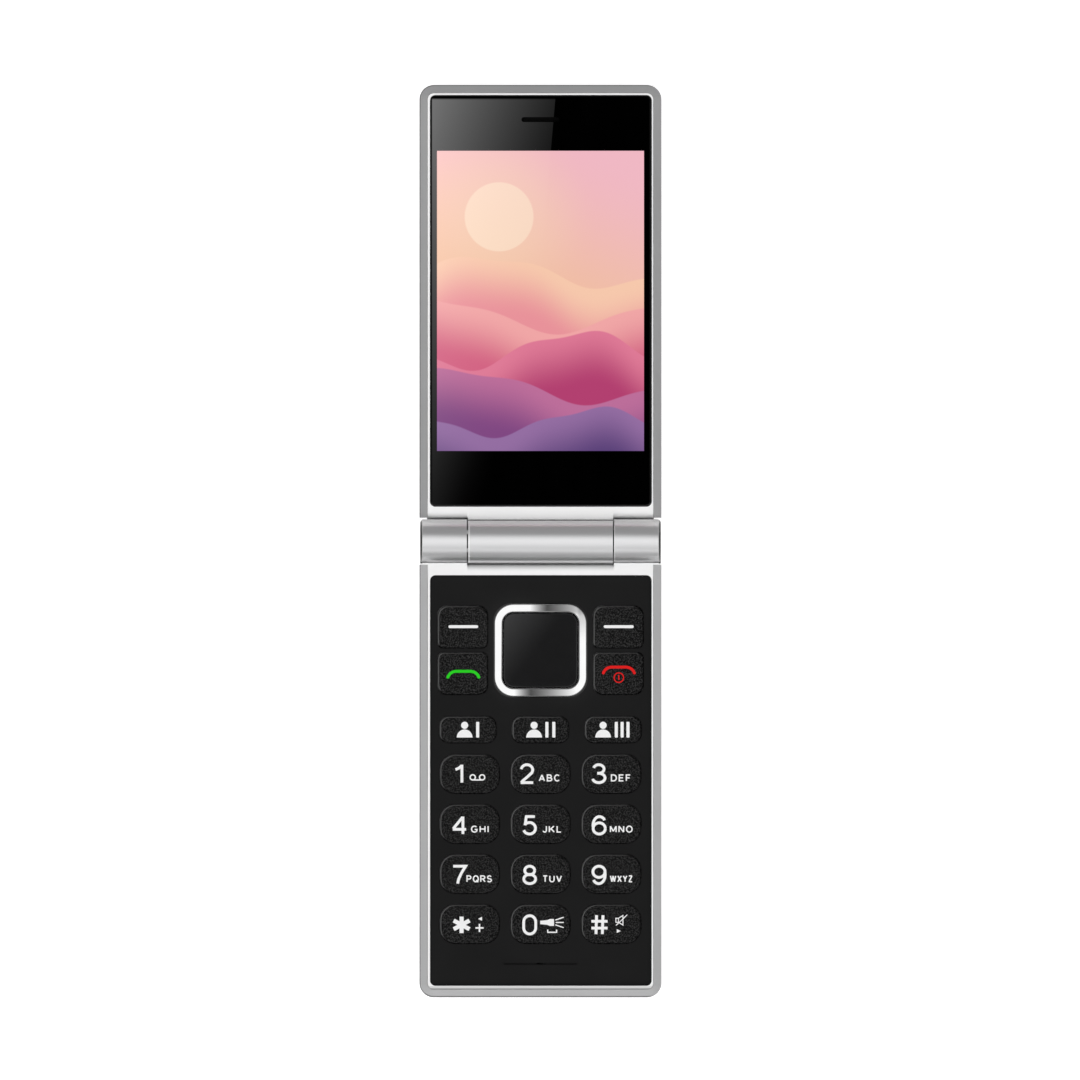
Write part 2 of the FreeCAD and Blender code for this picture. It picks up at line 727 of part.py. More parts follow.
pocket(shell, plan(shell, BASE, bay_half, bay_start, bay_end, None, board_z - dim.bay_floor),
       board_z - dim.bay_floor)
sim_spot = (battery_width / 5, -(bay_start + battery_height / 2))
sim_side = battery_width * dim.sim_share
pocket(shell, rectangle(shell, sim_side + dim.board_gap * 2, sim_side + dim.board_gap * 2, None,
                        sim_spot, board_z), dim.bay_floor + dim.battery_play)
pocket(shell, rectangle(shell, connector_width + dim.board_gap * 2, dim.bay_wall * 3, None,
                        (0, dim.bay_wall / 2 - bay_start), board_z),
       dim.holder_thick + dim.bay_floor * 2)
for spot in base_screw_spots:
    pocket(shell, screw_outline(shell, hole_radius + dim.screw_gap, spot, board_z), board_z)
    pocket(shell, disc(shell, dim.screw_head_radius + dim.fit_gap * 3, spot, head_seat), head_seat)
pocket(shell, rectangle(shell, dim.port_width + dim.port_gap * 2, dim.port_height + dim.port_gap * 2,
                        dim.port_height / 2, (0, port_z), -dim.half_length - dim.ledge_width, "XZ"),
       dim.rim_wall + dim.ledge_width * 3)
for index in range(slot_count):
    shift = dim.speaker_slot_pitch * (index - (slot_count - 1) / 2)
    pocket(shell, rectangle(shell, dim.speaker_slot_length, dim.speaker_slot, None,
                            (speaker_spot[0], speaker_spot[1] + shift), dim.back_wall),
           dim.back_wall)
keep(shell)

lid = new_body("lid_back_shell")
outer_form(lid, LID, lid_back_z)
frame_seat(lid, LID, lid_frame_z)
barrel_shelf(lid, LID)
pocket(lid, plan(lid, LID, hollow_half, hollow_start, hollow_end, None, lid_frame_z),
       lid_frame_z - lid_inside_z)
screw_x = half_width - dim.screw_inset
lid_screw_spots = [(screw_x, dim.boss_top_row), (-screw_x, dim.boss_top_row)]
for spot in lid_screw_spots:
    pad(lid, rectangle(lid, dim.boss_radius * 2, dim.boss_radius * 2, None, spot, lid_inside_z),
        lid_frame_z - lid_inside_z)
    pocket(lid, screw_outline(lid, hole_radius, spot, lid_frame_z), lid_frame_z - lid_inside_z)
tray_half = display_width / 2 + dim.display_border
tray_reach = display_height / 2 + dim.display_foot
rib_thick = dim.rim_wall * dim.rib_share
rib_x = display_width / 4
for side in (1, -1):
    pad(lid, rectangle(lid, rib_thick, tray_reach * dim.rib_reach * 2, None, (side * rib_x, display_middle),
                       lid_inside_z), dim.lid_space)
camera_spot = (0, dim.camera_middle)
torch_spot = (-dim.torch_offset, dim.camera_middle)
pocket(lid, disc(lid, dim.camera_window_radius + dim.fit_gap, camera_spot, lid_back_z),
       dim.camera_window_thick, True)
pocket(lid, disc(lid, dim.camera_window_radius * dim.iris_share, camera_spot, lid_back_z), dim.back_wall, True)
pocket(lid, disc(lid, dim.torch_radius + dim.fit_gap, torch_spot, lid_back_z), dim.back_wall, True)
cable_spot = (dim.camera_side / 2 + rib_x - rib_thick / 2) / 2
cable_level = axis_z - dim.bushing_radius + dim.run_gap * 6
pocket(lid, rectangle(lid, dim.cable_width + dim.key_gap * 2, dim.end_wall * 2, None,
                      (cable_spot, open_end + dim.end_wall / 2), lid_frame_z),
       dim.screw_head)
keep(lid)


# Front frames with their hinge knuckles

def frame_plate(body, side, low):
    """Plate that fills the front of a shell, with two snap hooks at its free end."""
    radius = dim.corner_radius - dim.rim_wall - dim.fit_gap
    pad(body, plan(body, side, frame_half - dim.fit_gap, open_end, frame_end - dim.fit_gap,
                   free_corners(side, radius), low), rim_z - low)
    for place in (1, -1):
        pad(body, hook_outline(body, side, place, as_size(0), low), dim.hook_thick)


def knuckle(body, side, start, length):
    """Barrel piece and the web that joins it to the end of its frame."""
    pad(body, disc(body, dim.barrel_radius, (0, axis_z), start, "YZ"), length)
    web_low = axis_z - dim.barrel_radius
    web_high = rim_z - web_low
    pad(body, rectangle(body, open_end, web_high, None, (side * open_end / 2, web_low + web_high / 2),
                        start, "YZ"), length)


def hinge_edge(side, inside):
    """Test for the rolled front edge that faces the other half's knuckle."""
    def test(edge):
        middle = edge.CenterOfMass
        right_place = at_level(rim_z)(edge) and abs(middle.y - side * open_end.number) < 1e-3
        return right_place and (abs(middle.x) < 1.0) == inside
    return test


centre_half = centre_knuckle / 2
outer_start = centre_half + dim.knuckle_gap
outer_end = half_width - dim.knuckle_inset
outer_length = outer_end - outer_start

lid_frame = new_body("lid_front_frame")
frame_plate(lid_frame, LID, lid_frame_z)
knuckle(lid_frame, LID, -centre_half, centre_knuckle)
fillet(lid_frame, dim.end_roll, hinge_edge(LID, False))
pocket(lid_frame, plan(lid_frame, LID, insert_half, dim.lens_start, lens_end,
                       dim.insert_radius, rim_z), rim_z - lens_z)
pocket(lid_frame, rectangle(lid_frame, display_width + dim.lip_width,
                            display_height + dim.lip_width, None,
                            (0, display_middle), lens_z), dim.lip_thick * 2)
pocket(lid_frame, rectangle(lid_frame, (tray_half + dim.fit_gap) * 2, (tray_reach + dim.fit_gap) * 2,
                            None, (0, display_middle), lid_frame_z), dim.frame_step, True)
ear_spot = (0, slot_middle)
pocket(lid_frame, rectangle(lid_frame, dim.slot_width + dim.slot_play * 2,
                            dim.slot_height + dim.slot_play * 2, None, ear_spot, lens_z),
       lens_z - lid_frame_z)
receiver_top = lid_frame_z + dim.frame_step / 2
pocket(lid_frame, rectangle(lid_frame, dim.receiver_width + dim.key_gap * 2,
                            dim.receiver_height + dim.key_gap * 2, None, ear_spot, lid_frame_z),
       dim.frame_step / 2, True)
for spot in lid_screw_spots:
    pocket(lid_frame, screw_outline(lid_frame, dim.screw_head_radius + dim.fit_gap * 2, spot, lens_z),
           dim.screw_head)
    pocket(lid_frame, screw_outline(lid_frame, hole_radius, spot, lens_z), lens_z - lid_frame_z)
head_half = dim.head_side / 2 + dim.fit_gap
pocket(lid_frame, rectangle(lid_frame, head_half * 2, head_half * 2, None, (0, axis_z),
                            -centre_half, "YZ"), dim.head_length + dim.knuckle_gap, True)
coil_start = cable_spot - dim.cable_width / 2 - dim.key_gap
pocket(lid_frame, disc(lid_frame, dim.bushing_radius + dim.run_gap, (0, axis_z), centre_half, "YZ"),
       centre_half - coil_start)
cable_run = dim.boss_top_row + dim.end_wall
groove_top = cable_level + dim.cable_thick + dim.key_gap
pocket(lid_frame, rectangle(lid_frame, dim.cable_width + dim.key_gap * 2, cable_run, None,
                            (cable_spot, cable_run / 2), lid_frame_z), groove_top - lid_frame_z, True)
keep(lid_frame)

base_frame = new_body("base_front_frame")
frame_plate(base_frame, BASE, base_frame_z)
knuckle(base_frame, BASE, outer_start, outer_length)
knuckle(base_frame, BASE, -outer_end, outer_length)


def outer_rim(edge):
    """Round edges at the two outer ends of the barrel."""
    middle = edge.CenterOfMass
    at_end = all(near(abs(vertex.X), outer_end) for vertex in edge.Vertexes)
    return at_end and abs(middle.x) > 1.0 and edge.Curve.TypeId == "Part::GeomCircle"


chamfer(base_frame, dim.knuckle_edge, outer_rim)
fillet(base_frame, dim.end_roll, hinge_edge(BASE, True))
pocket(base_frame, plan(base_frame, BASE, insert_half, dim.panel_start, panel_stop,
                        dim.insert_radius, rim_z), rim_z - panel_z)
window_half = insert_half - dim.window_inset
soft_row = nav_row - soft_pitch / 2
call_row = nav_row + soft_pitch / 2
last_row = number_start + number_pitch_y * 3
key_field_start = nav_row - ring_side / 2 - dim.key_skirt - dim.key_gap * 2
key_field_end = last_row + number_height / 2 + dim.key_skirt + dim.key_gap
pocket(base_frame, plan(base_frame, BASE, window_half, key_field_start, key_field_end, None, panel_z),
       dim.panel_ledge)
foot = column_top + dim.fit_gap
for spot in base_screw_spots:
    pad(base_frame, rectangle(base_frame, dim.boss_radius * 2, dim.boss_radius * 2, None, spot, foot),
        base_frame_z - foot)
    pocket(base_frame, screw_outline(base_frame, hole_radius, spot, foot),
           head_seat + dim.base_screw_length - foot, True)
mic_spot = (0, -(lip_row + dim.mic_slot / 2))
pocket(base_frame, rectangle(base_frame, dim.mic_side / 2, dim.mic_side / 2, None, mic_spot, panel_z),
       dim.panel_ledge)
pocket(base_frame, disc(base_frame, dim.cartridge_radius + dim.run_gap, (0, axis_z), -outer_end, "YZ"),
       outer_length, True)
key_depth = dim.cartridge_radius + dim.cartridge_key / 2
pocket(base_frame, rectangle(base_frame, dim.cartridge_key + dim.run_gap * 2, key_depth + dim.run_gap,
                             None, (0, axis_z - (key_depth + dim.run_gap) / 2), -outer_end, "YZ"),
       outer_length, True)
pocket(base_frame, disc(base_frame, dim.bushing_radius + dim.run_gap / 2, (0, axis_z), outer_end, "YZ"),
       outer_length)
cap_pocket = dim.cap_thick + dim.knuckle_inset
pocket(base_frame, disc(base_frame, dim.cap_radius + dim.run_gap, (0, axis_z), outer_end, "YZ"), cap_pocket)
pocket(base_frame, disc(base_frame, dim.cap_radius + dim.run_gap, (0, axis_z), -outer_end, "YZ"),
       cap_pocket, True)
tail_x = hollow_half - dim.board_gap - dim.cable_neck / 2
tail_run = dim.board_start
pocket(base_frame, rectangle(base_frame, dim.cable_neck + dim.key_gap * 2, tail_run, None,
                             (tail_x, -tail_run / 2), base_frame_z), groove_top - base_frame_z, True)
keep(base_frame)

# Lid pieces
lens = new_body("display_lens")
pad(lens, plan(lens, LID, insert_half - dim.fit_gap, dim.lens_start + dim.fit_gap, lens_end - dim.fit_gap,
               dim.insert_radius - dim.fit_gap, lens_z), dim.lens_thick)
slot_radius = dim.slot_height * dim.slot_end
pocket(lens, rectangle(lens, dim.slot_width, dim.slot_height, slot_radius, ear_spot, lens_top),
       dim.lens_thick)
keep(lens)

display = new_body("lcd_panel")
pad(display, rectangle(display, tray_half * 2, tray_reach * 2, None, (0, display_middle), display_z),
    dim.display_thick - dim.cable_thick)
pad(display, rectangle(display, display_width, display_height, None, (0, display_middle),
                       display_z), dim.display_thick)
keep(display)

tray = new_body("lcd_tray")
pad(tray, rectangle(tray, tray_half * 2, tray_reach * 2, None, (0, display_middle), tray_z),
    dim.tray_thick)
for side in (1, -1):
    pocket(tray, rectangle(tray, rib_x, tray_reach * dim.tray_window * 2, None,
                           (0, display_middle + side * tray_reach * dim.tray_window_place), display_z),
           dim.tray_thick)
keep(tray)

receiver = new_body("earpiece_receiver")
receiver_z = receiver_top - dim.receiver_thick
pad(receiver, rectangle(receiver, dim.receiver_width, dim.receiver_height, None, ear_spot,
                        receiver_z), dim.receiver_thick)
pocket(receiver, rectangle(receiver, dim.slot_width, dim.slot_height, None, ear_spot, receiver_top),
       dim.receiver_thick / 4)
keep(receiver)

mesh = new_body("earpiece_mesh")
mesh_z = lens_z - dim.tray_thick
mesh_play = dim.slot_play - dim.fit_gap
pad(mesh, rectangle(mesh, dim.slot_width + mesh_play * 2, dim.slot_height + mesh_play * 2, None,
                    ear_spot, mesh_z), dim.tray_thick)
keep(mesh)

board_low = lid_inside_z + dim.tray_thick
lid_board = new_body("lid_circuit_board")
board_middle = display_middle
pad(lid_board, rectangle(lid_board, rib_x * 2 - rib_thick * 2, tray_reach * dim.lid_board_share * 2, None,
                         (0, board_middle), board_low), dim.board_thick)
for side in (1, -1):
    chip_spot = (0, board_middle + side * tray_reach * dim.chip_place)
    pad(lid_board, rectangle(lid_board, rib_x, rib_x, None, chip_spot, board_low + dim.board_thick),
        dim.board_thick)
    foot_spot = (0, board_middle + side * tray_reach * dim.foot_place)
    pad(lid_board, rectangle(lid_board, rib_x, rib_thick, None, foot_spot, lid_inside_z), dim.tray_thick)
keep(lid_board)

camera = new_body("camera_module")
pad(camera, rectangle(camera, dim.camera_side, dim.camera_side, None, camera_spot, lid_inside_z),
    dim.camera_thick)
pad(camera, disc(camera, dim.camera_window_radius * dim.camera_barrel_share, camera_spot,
                 lid_back_z + dim.camera_window_thick + dim.fit_gap), dim.back_wall)
keep(camera)

window = new_body("camera_window")
pad(window, disc(window, dim.camera_window_radius, camera_spot, lid_back_z), dim.camera_window_thick)
keep(window)

torch_lens = new_body("torch_lens")
pad(torch_lens, disc(torch_lens, dim.torch_radius, torch_spot, lid_back_z), dim.back_wall)
keep(torch_lens)

keep(block("torch_light", torch_spot, lid_inside_z, dim.torch_side, dim.torch_side, dim.torch_thick))

magnet_spot = (screw_x - dim.boss_radius * 3, dim.half_length - dim.magnet_row)
magnet_thick = dim.cover_thick
keep(block("lid_magnet", magnet_spot, lid_frame_z - magnet_thick, dim.receiver_height,
           dim.receiver_height / 2, magnet_thick))


def screw(label, spot, head_z, length, up):
    """Flat-headed screw, shank up or down from its head."""
    head = prism(label + "_head", dim.screw_head_radius, dim.screw_head, (spot[0], spot[1], head_z))
    low = head_z + dim.screw_head / 2 if up else head_z - length
    shank = prism(label + "_shank", dim.screw_radius, length + dim.screw_head / 2, (spot[0], spot[1], low))
    return joined(label, [head, shank])


lid_screws = [screw("lid_screw_%d" % number, spot, lens_z - dim.screw_head, dim.lid_screw_length, False)
              for number, spot in enumerate(lid_screw_spots, start=1)]
keep(group("lid_screws", lid_screws))

# Hinge pieces
cartridge = new_body("hinge_cartridge")
cartridge_start = -outer_end + cap_pocket + dim.fit_gap
cartridge_length = outer_length - cap_pocket - dim.fit_gap * 2
pad(cartridge, disc(cartridge, dim.cartridge_radius, (0, axis_z), cartridge_start, "YZ"), cartridge_length)
pad(cartridge, rectangle(cartridge, dim.cartridge_key, key_depth, None, (0, axis_z - key_depth / 2),
                         cartridge_start, "YZ"), cartridge_length)
pocket(cartridge, disc(cartridge, dim.shaft_radius + dim.run_gap, (0, axis_z),
                       cartridge_start + cartridge_length, "YZ"), dim.shaft_reach + dim.run_gap)
keep(cartridge)

shaft = new_body("hinge_shaft")
shaft_end = cartridge_start + cartridge_length
pad(shaft, disc(shaft, dim.shaft_radius, (0, axis_z), shaft_end - dim.shaft_reach, "YZ"),
    dim.shaft_reach + dim.knuckle_gap + dim.fit_gap * 2)
pad(shaft, rectangle(shaft, dim.head_side, dim.head_side, None, (0, axis_z), -centre_half + dim.fit_gap,
                     "YZ"), dim.head_length)
keep(shaft)

bushing = new_body("hinge_bushing")
bushing_grip = outer_length * dim.bushing_share
bushing_length = bushing_grip * 2 + dim.knuckle_gap
pad(bushing, disc(bushing, dim.bushing_radius, (0, axis_z), centre_half - bushing_grip, "YZ"),
    bushing_length)
pocket(bushing, disc(bushing, dim.bushing_bore, (0, axis_z), centre_half - bushing_grip, "YZ"),
       bushing_length, True)
keep(bushing)

caps = [rod("end_cap_right", dim.cap_radius, dim.cap_thick, (outer_end - cap_pocket, 0, axis_z), "X"),
        rod("end_cap_left", dim.cap_radius, dim.cap_thick, (dim.knuckle_inset - outer_end, 0, axis_z), "X")]
keep(group("hinge_end_caps", caps))


def ribbon(path, start, width):
    """Strip of flat cable: a path of (Y, Z) points with a thickness, carried along X."""
    half = dim.cable_thick.number / 2
    left = []
    right = []
    for index, (across, up) in enumerate(path):
        before = path[max(index - 1, 0)]
        after = path[min(index + 1, len(path) - 1)]
        run = math.hypot(after[0] - before[0], after[1] - before[1])
        normal = (-(after[1] - before[1]) / run, (after[0] - before[0]) / run)
        left.append(Vector(start, across + normal[0] * half, up + normal[1] * half))
        right.append(Vector(start, across - normal[0] * half, up - normal[1] * half))
    ring = left + right[::-1]
    return Part.Face(Part.makePolygon(ring + ring[:1])).extrude(Vector(width, 0, 0))


def flat_cable():
    """One turn round the hinge axis, a neck through the bushing and a tail to each board."""
    axis = axis_z.number
    outer_turn = axis - cable_level.number
    inner_turn = dim.bushing_bore.number / 2
    steps = 20
    turn = []
    for step in range(steps + 1):
        share = step / steps
        angle = -math.pi / 2 - share * math.pi * 2
        reach = outer_turn + (inner_turn - outer_turn) * share
        turn.append((reach * math.cos(angle), axis + reach * math.sin(angle)))
    run = cable_run.number
    board = board_low.number + dim.board_thick.number + dim.cable_thick.number / 2 + dim.fit_gap.number
    board_edge = board_middle.number - tray_reach.number * dim.lid_board_share.number
    bend = dim.cable_bend.number
    lead = dim.cable_lead.number
    to_lid = [(board_edge + dim.cable_land.number, board), (board_edge - lead, board),
              (run - bend / 3, axis - outer_turn - bend), (run - bend, axis - outer_turn)]
    neck_level = axis - inner_turn
    half_neck = dim.cable_neck.number / 2
    to_inner = [(-half_neck, neck_level)]
    coil = ribbon(to_lid + turn + to_inner, cable_spot.number - dim.cable_width.number / 2,
                  dim.cable_width.number)
    neck_start = cable_spot.number + dim.cable_width.number / 2 - half_neck / 2
    tail_end = tail_x.number + half_neck
    neck = ribbon([(half_neck, neck_level), (-half_neck, neck_level)], neck_start, tail_end - neck_start)
    main = board_top.number + dim.cable_thick.number / 2 + dim.fit_gap.number
    stop = dim.board_start.number
    to_base = [(0.0, neck_level), (-half_neck, neck_level), (-dim.bushing_bore.number, axis - outer_turn),
               (-dim.panel_start.number, axis - outer_turn),
               (-stop - dim.board_gap.number, main), (-stop - dim.board_gap.number - lead, main)]
    tail = ribbon(to_base, tail_x.number - half_neck, dim.cable_neck.number)
    return coil.fuse([neck, tail])


cable = DOC.addObject("Part::Feature", "hinge_flat_cable")
cable.Label = "hinge_flat_cable"
cable.Shape = flat_cable()
keep(cable)

# Keypad
panel = new_body("keypad_panel")
pad(panel, plan(panel, BASE, insert_half - dim.fit_gap, dim.panel_start + dim.fit_gap,
                panel_stop - dim.fit_gap, dim.insert_radius - dim.fit_gap, panel_z), dim.panel_thick)

number_names = ["key_1", "key_2", "key_3", "key_4", "key_5", "key_6", "key_7", "key_8", "key_9",
                "key_star", "key_0", "key_hash"]
KEYS = []
for index, name in enumerate(number_names):
    column = index % 3 - 1
    row = number_start + number_pitch_y * (index // 3)
    KEYS.append((name, number_pitch_x * column, -row, number_width, number_height,
                 number_radius, number_radius))
for index in range(3):
    KEYS.append(("key_memory_%d" % (index + 1), memory_pitch * (index - 1), -memory_row,
                 memory_width, memory_height, memory_radius, memory_radius))
for name, side, row, upper, lower in [
        ("key_soft_left", -1, soft_row, dim.soft_big_radius, dim.soft_small_radius),
        ("key_soft_right", 1, soft_row, dim.soft_big_radius, dim.soft_small_radius),
        ("key_call", -1, call_row, dim.soft_small_radius, dim.soft_big_radius),
        ("key_end", 1, call_row, dim.soft_small_radius, dim.soft_big_radius)]:
    KEYS.append((name, soft_offset * side, -row, soft_width, soft_height, upper, lower))


def key_outline(body, key, grow, level):
    """Outline of a key, made larger or smaller all round."""
    name, across, along, width, height, upper, lower = key
    upper = upper + grow
    lower = lower + grow
    outline = stepped_corners(width + as_size(grow) * 2, height + as_size(grow) * 2,
                              (lower, upper, upper, lower))
    return polygon(body, outline, (across, along), level)


# First key of each field, its steps to the right and its steps down
FIELDS = [(KEYS[0], number_pitch_x, 3, number_pitch_y, 4),
          (KEYS[12], memory_pitch, 3, memory_height, 1),
          (KEYS[15], soft_offset * 2, 2, soft_pitch, 1),
          (KEYS[17], soft_offset * 2, 2, soft_pitch, 1)]
for key, step_x, count_x, step_y, count_y in FIELDS:
    hole = pocket(panel, key_outline(panel, key, dim.key_gap, panel_top), dim.panel_thick)
    repeated(panel, [hole], step_x, count_x, step_y, count_y)

key_top = panel_top + dim.key_rise
for key in KEYS:
    cap = new_body(key[0])
    pad(cap, rectangle(cap, key[3] + dim.key_skirt * 2, key[4] + dim.key_skirt * 2, None,
                       (key[1], key[2]), flange_z), dim.key_flange)
    pad(cap, key_outline(cap, key, as_size(0), flange_z), key_top - flange_z)
    keep(cap)

nav_spot = (0, -nav_row)
hole_side = ring_side + dim.key_gap * 2
pocket(panel, rectangle(panel, hole_side, hole_side, dim.ring_radius + dim.key_gap, nav_spot, panel_top),
       dim.panel_thick)
lip_points = [(dim.lip_run, 0), (0, dim.lip_rise), (0, 0)]
pad(panel, polygon(panel, lip_points, (-lip_row, panel_top), -dim.lip_length / 2, "YZ"), dim.lip_length)
pocket(panel, rectangle(panel, dim.lip_length, dim.mic_slot, None,
                        (0, -(lip_row + dim.mic_slot / 2)), panel_top), dim.panel_thick / 2)
pocket(panel, rectangle(panel, dim.mic_slot * 4, dim.mic_slot, None, mic_spot, panel_top), dim.panel_thick)
keep(panel)

# Navigation ring, its seat and the middle key
seat_z = dome_top + dim.ring_float
seat_top = seat_z + dim.seat_thick
ring_flange_z = seat_top + dim.ring_float
inner_side = ring_side - dim.ring_band * 2
inner_radius = dim.ring_radius - dim.ring_band
ring_top = panel_top + dim.ring_rise

ring = new_body("nav_ring")
flange_side = ring_side + dim.key_skirt * 2
pad(ring, rectangle(ring, flange_side, flange_side, None, nav_spot, ring_flange_z), dim.ring_flange)
pad(ring, rectangle(ring, ring_side, ring_side, dim.ring_radius, nav_spot, ring_flange_z),
    ring_top - ring_flange_z)
pocket(ring, rectangle(ring, inner_side, inner_side, inner_radius, nav_spot, ring_top),
       ring_top - ring_flange_z)
keep(ring)

seat = new_body("nav_seat")
seat_side = inner_side + dim.seat_band * 2
pad(seat, rectangle(seat, seat_side, seat_side, None, nav_spot, seat_z), dim.seat_thick)
pocket(seat, rectangle(seat, inner_side, inner_side, None, nav_spot, seat_top), dim.seat_thick)
keep(seat)

middle = new_body("key_middle")
middle_side = inner_side - dim.middle_gap * 2
middle_top = panel_top + dim.middle_rise
middle_z = middle_top - dim.middle_thick
pad(middle, rectangle(middle, middle_side, middle_side, inner_radius - dim.middle_gap, nav_spot, middle_z),
    dim.middle_thick)
stem_z = dome_top + dim.key_float
pad(middle, rectangle(middle, dim.middle_stem * 2, dim.middle_stem * 2, None, nav_spot, stem_z),
    middle_z - stem_z)
keep(middle)

# Rubber mat, dome sheet and main board
mat_half = number_pitch_x + number_width / 2 - dim.window_inset
mat_start = nav_row - ring_side / 2 - dim.key_skirt
mat_end = last_row + number_height / 2
mat = new_body("keypad_rubber_mat")
pad(mat, plan(mat, BASE, mat_half, mat_start, mat_end, None, mat_z), dim.mat_thick)
pad(mat, plan(mat, BASE, mat_half, mat_start, mat_end, None, board_top + dim.film_thick),
    mat_z - board_top - dim.film_thick)
pocket(mat, plan(mat, BASE, mat_half - dim.ledge_width, mat_start + dim.ledge_width,
                 mat_end - dim.ledge_width, None, board_top + dim.film_thick),
       mat_z - board_top - dim.film_thick, True)
nav_hole = flange_side + dim.key_gap * 2
pocket(mat, rectangle(mat, nav_hole, nav_hole, None, nav_spot, mat_top),
       mat_top - board_top - dim.film_thick)
for key, step_x, count_x, step_y, count_y in FIELDS:
    raised = pad(mat, rectangle(mat, key[3] - dim.pad_inset * 2, key[4] - dim.pad_inset * 2, None,
                                (key[1], key[2]), mat_top), dim.pad_height)
    plunger = pad(mat, rectangle(mat, dim.plunger_side, dim.plunger_side, None, (key[1], key[2]), plunger_z),
                  dim.plunger_length)
    repeated(mat, [raised, plunger], step_x, count_x, step_y, count_y)
keep(mat)

domes = new_body("dome_sheet")
pad(domes, plan(domes, BASE, mat_half, mat_start, mat_end, None, board_top), dim.film_thick)
for key, step_x, count_x, step_y, count_y in FIELDS:
    dome = pad(domes, rectangle(domes, dim.dome_side, dim.dome_side, None, (key[1], key[2]), board_top),
               dim.film_thick + dim.dome_height)
    repeated(domes, [dome], step_x, count_x, step_y, count_y)
arm = (inner_side + dim.seat_band) / 2
for spot in [nav_spot, (arm, nav_spot[1]), (-arm, nav_spot[1]), (0, nav_spot[1] + arm),
             (0, nav_spot[1] - arm)]:
    pad(domes, rectangle(domes, dim.dome_side, dim.dome_side, None, spot, board_top),
        dim.film_thick + dim.dome_height)
keep(domes)

board = new_body("main_circuit_board")
pad(board, plan(board, BASE, hollow_half - dim.board_gap, dim.board_start, hollow_end - dim.board_gap,
                None, board_z), dim.board_thick)
keep(board)

can_width = number_pitch_x
can_offset = can_width * dim.can_place
can_middle = -(dim.board_start + cover_start) / 2
cans = [block("shield_can_left", (-can_offset, can_middle), board_z - dim.holder_thick, can_width,
              can_width, dim.holder_thick),
        block("shield_can_right", (can_offset, can_middle), board_z - dim.holder_thick, can_width,
              can_width, dim.holder_thick)]
keep(group("shield_cans", cans))

holder = new_body("sim_card_holder")
contact_side = sim_side * dim.contact_share
pad(holder, rectangle(holder, sim_side, sim_side, None, sim_spot, holder_z), dim.holder_thick)
card_spot = (sim_spot[0], sim_spot[1] + dim.rim_wall)
card_top = holder_z + dim.holder_thick * 3 / 4
pocket(holder, rectangle(holder, sim_side * dim.card_share, sim_side, None, card_spot, card_top),
       dim.holder_thick / 2)
pocket(holder, rectangle(holder, contact_side, contact_side, None, sim_spot, holder_z),
       dim.holder_thick / 2, True)
keep(holder)

# Battery, its connector and its cover
battery = new_body("battery")
pad(battery, plan(battery, BASE, battery_width / 2, bay_start + dim.battery_play,
                  bay_start + dim.battery_play + battery_height, dim.insert_radius, battery_z),
    dim.battery_thick)
notch = connector_width + dim.board_gap * 2
pocket(battery, rectangle(battery, notch, dim.bay_wall, None, (0, -bay_start - dim.battery_play),
                          battery_z + dim.battery_thick), dim.battery_thick)
keep(battery)

connector = new_body("battery_connector")
connector_z = board_z - dim.holder_thick - dim.bay_floor
connector_end = bay_start + dim.battery_play / 2
pad(connector, plan(connector, BASE, connector_width / 2, cover_start - dim.bay_wall / 2,
                    connector_end, None, connector_z), board_z - connector_z)
for index in range(3):
    blade = connector_width / 4 * (index - 1)
    pad(connector, rectangle(connector, dim.bay_floor, dim.bay_wall, None,
                             (blade, -connector_end), connector_z + dim.bay_floor / 2), dim.holder_thick)
keep(connector)

form = new_body("base_outer_form")
outer_form(form, BASE, as_size(0))
cover_middle, cover_length = span(BASE, cover_start + dim.cover_gap, dim.half_length)
cover_block = block("cover_block", (0, cover_middle), 0, cover_width, cover_length, dim.cover_thick)
cover_rails = block("cover_rails", (0, cover_middle), rail_z, cover_width + dim.rail_reach * 2,
                    cover_length, dim.rail_thick)
cover_whole = joined("cover_whole", [cover_block, cover_rails])
cover_form = DOC.addObject("Part::Common", "cover_form")
cover_form.Base = cover_whole
cover_form.Tool = form
grip_rows = 5
grips = [block("cover_grip_%d" % number, (0, -(cover_start + dim.speaker_slot_pitch * (number + 2))), 0,
               dim.receiver_width, dim.speaker_slot, dim.cover_thick / 3) for number in range(grip_rows)]
cover = without("battery_cover", cover_form, group("cover_grips", grips))
keep(cover)

# Small parts on the boards and in the shell
speaker = new_body("loudspeaker")
pad(speaker, rectangle(speaker, dim.speaker_width, dim.speaker_height, None, speaker_spot,
                       dim.back_wall), dim.speaker_thick)
pocket(speaker, rectangle(speaker, dim.speaker_slot_length, dim.speaker_slot_length, None,
                          speaker_spot, dim.back_wall), dim.speaker_thick / 4, True)
keep(speaker)

motor_spot = (soft_offset * dim.motor_place, -nav_row)
keep(rod("vibration_motor", dim.motor_radius, dim.motor_thick, (motor_spot[0], motor_spot[1], dim.back_wall)))
keep(block("microphone", mic_spot, board_top, dim.mic_side, dim.mic_side, dim.plunger_length * 2))

antenna = new_body("antenna")
antenna_spot = (hook_offset, mic_spot[1])
antenna_width = hook_offset
pad(antenna, rectangle(antenna, antenna_width, dim.boss_radius * 2, None, antenna_spot, board_top),
    dim.tray_thick)
pad(antenna, rectangle(antenna, dim.tray_thick, dim.boss_radius * 2, None,
                       (antenna_spot[0] - antenna_width / 2, antenna_spot[1]), board_top),
    dim.plunger_length)
keep(antenna)

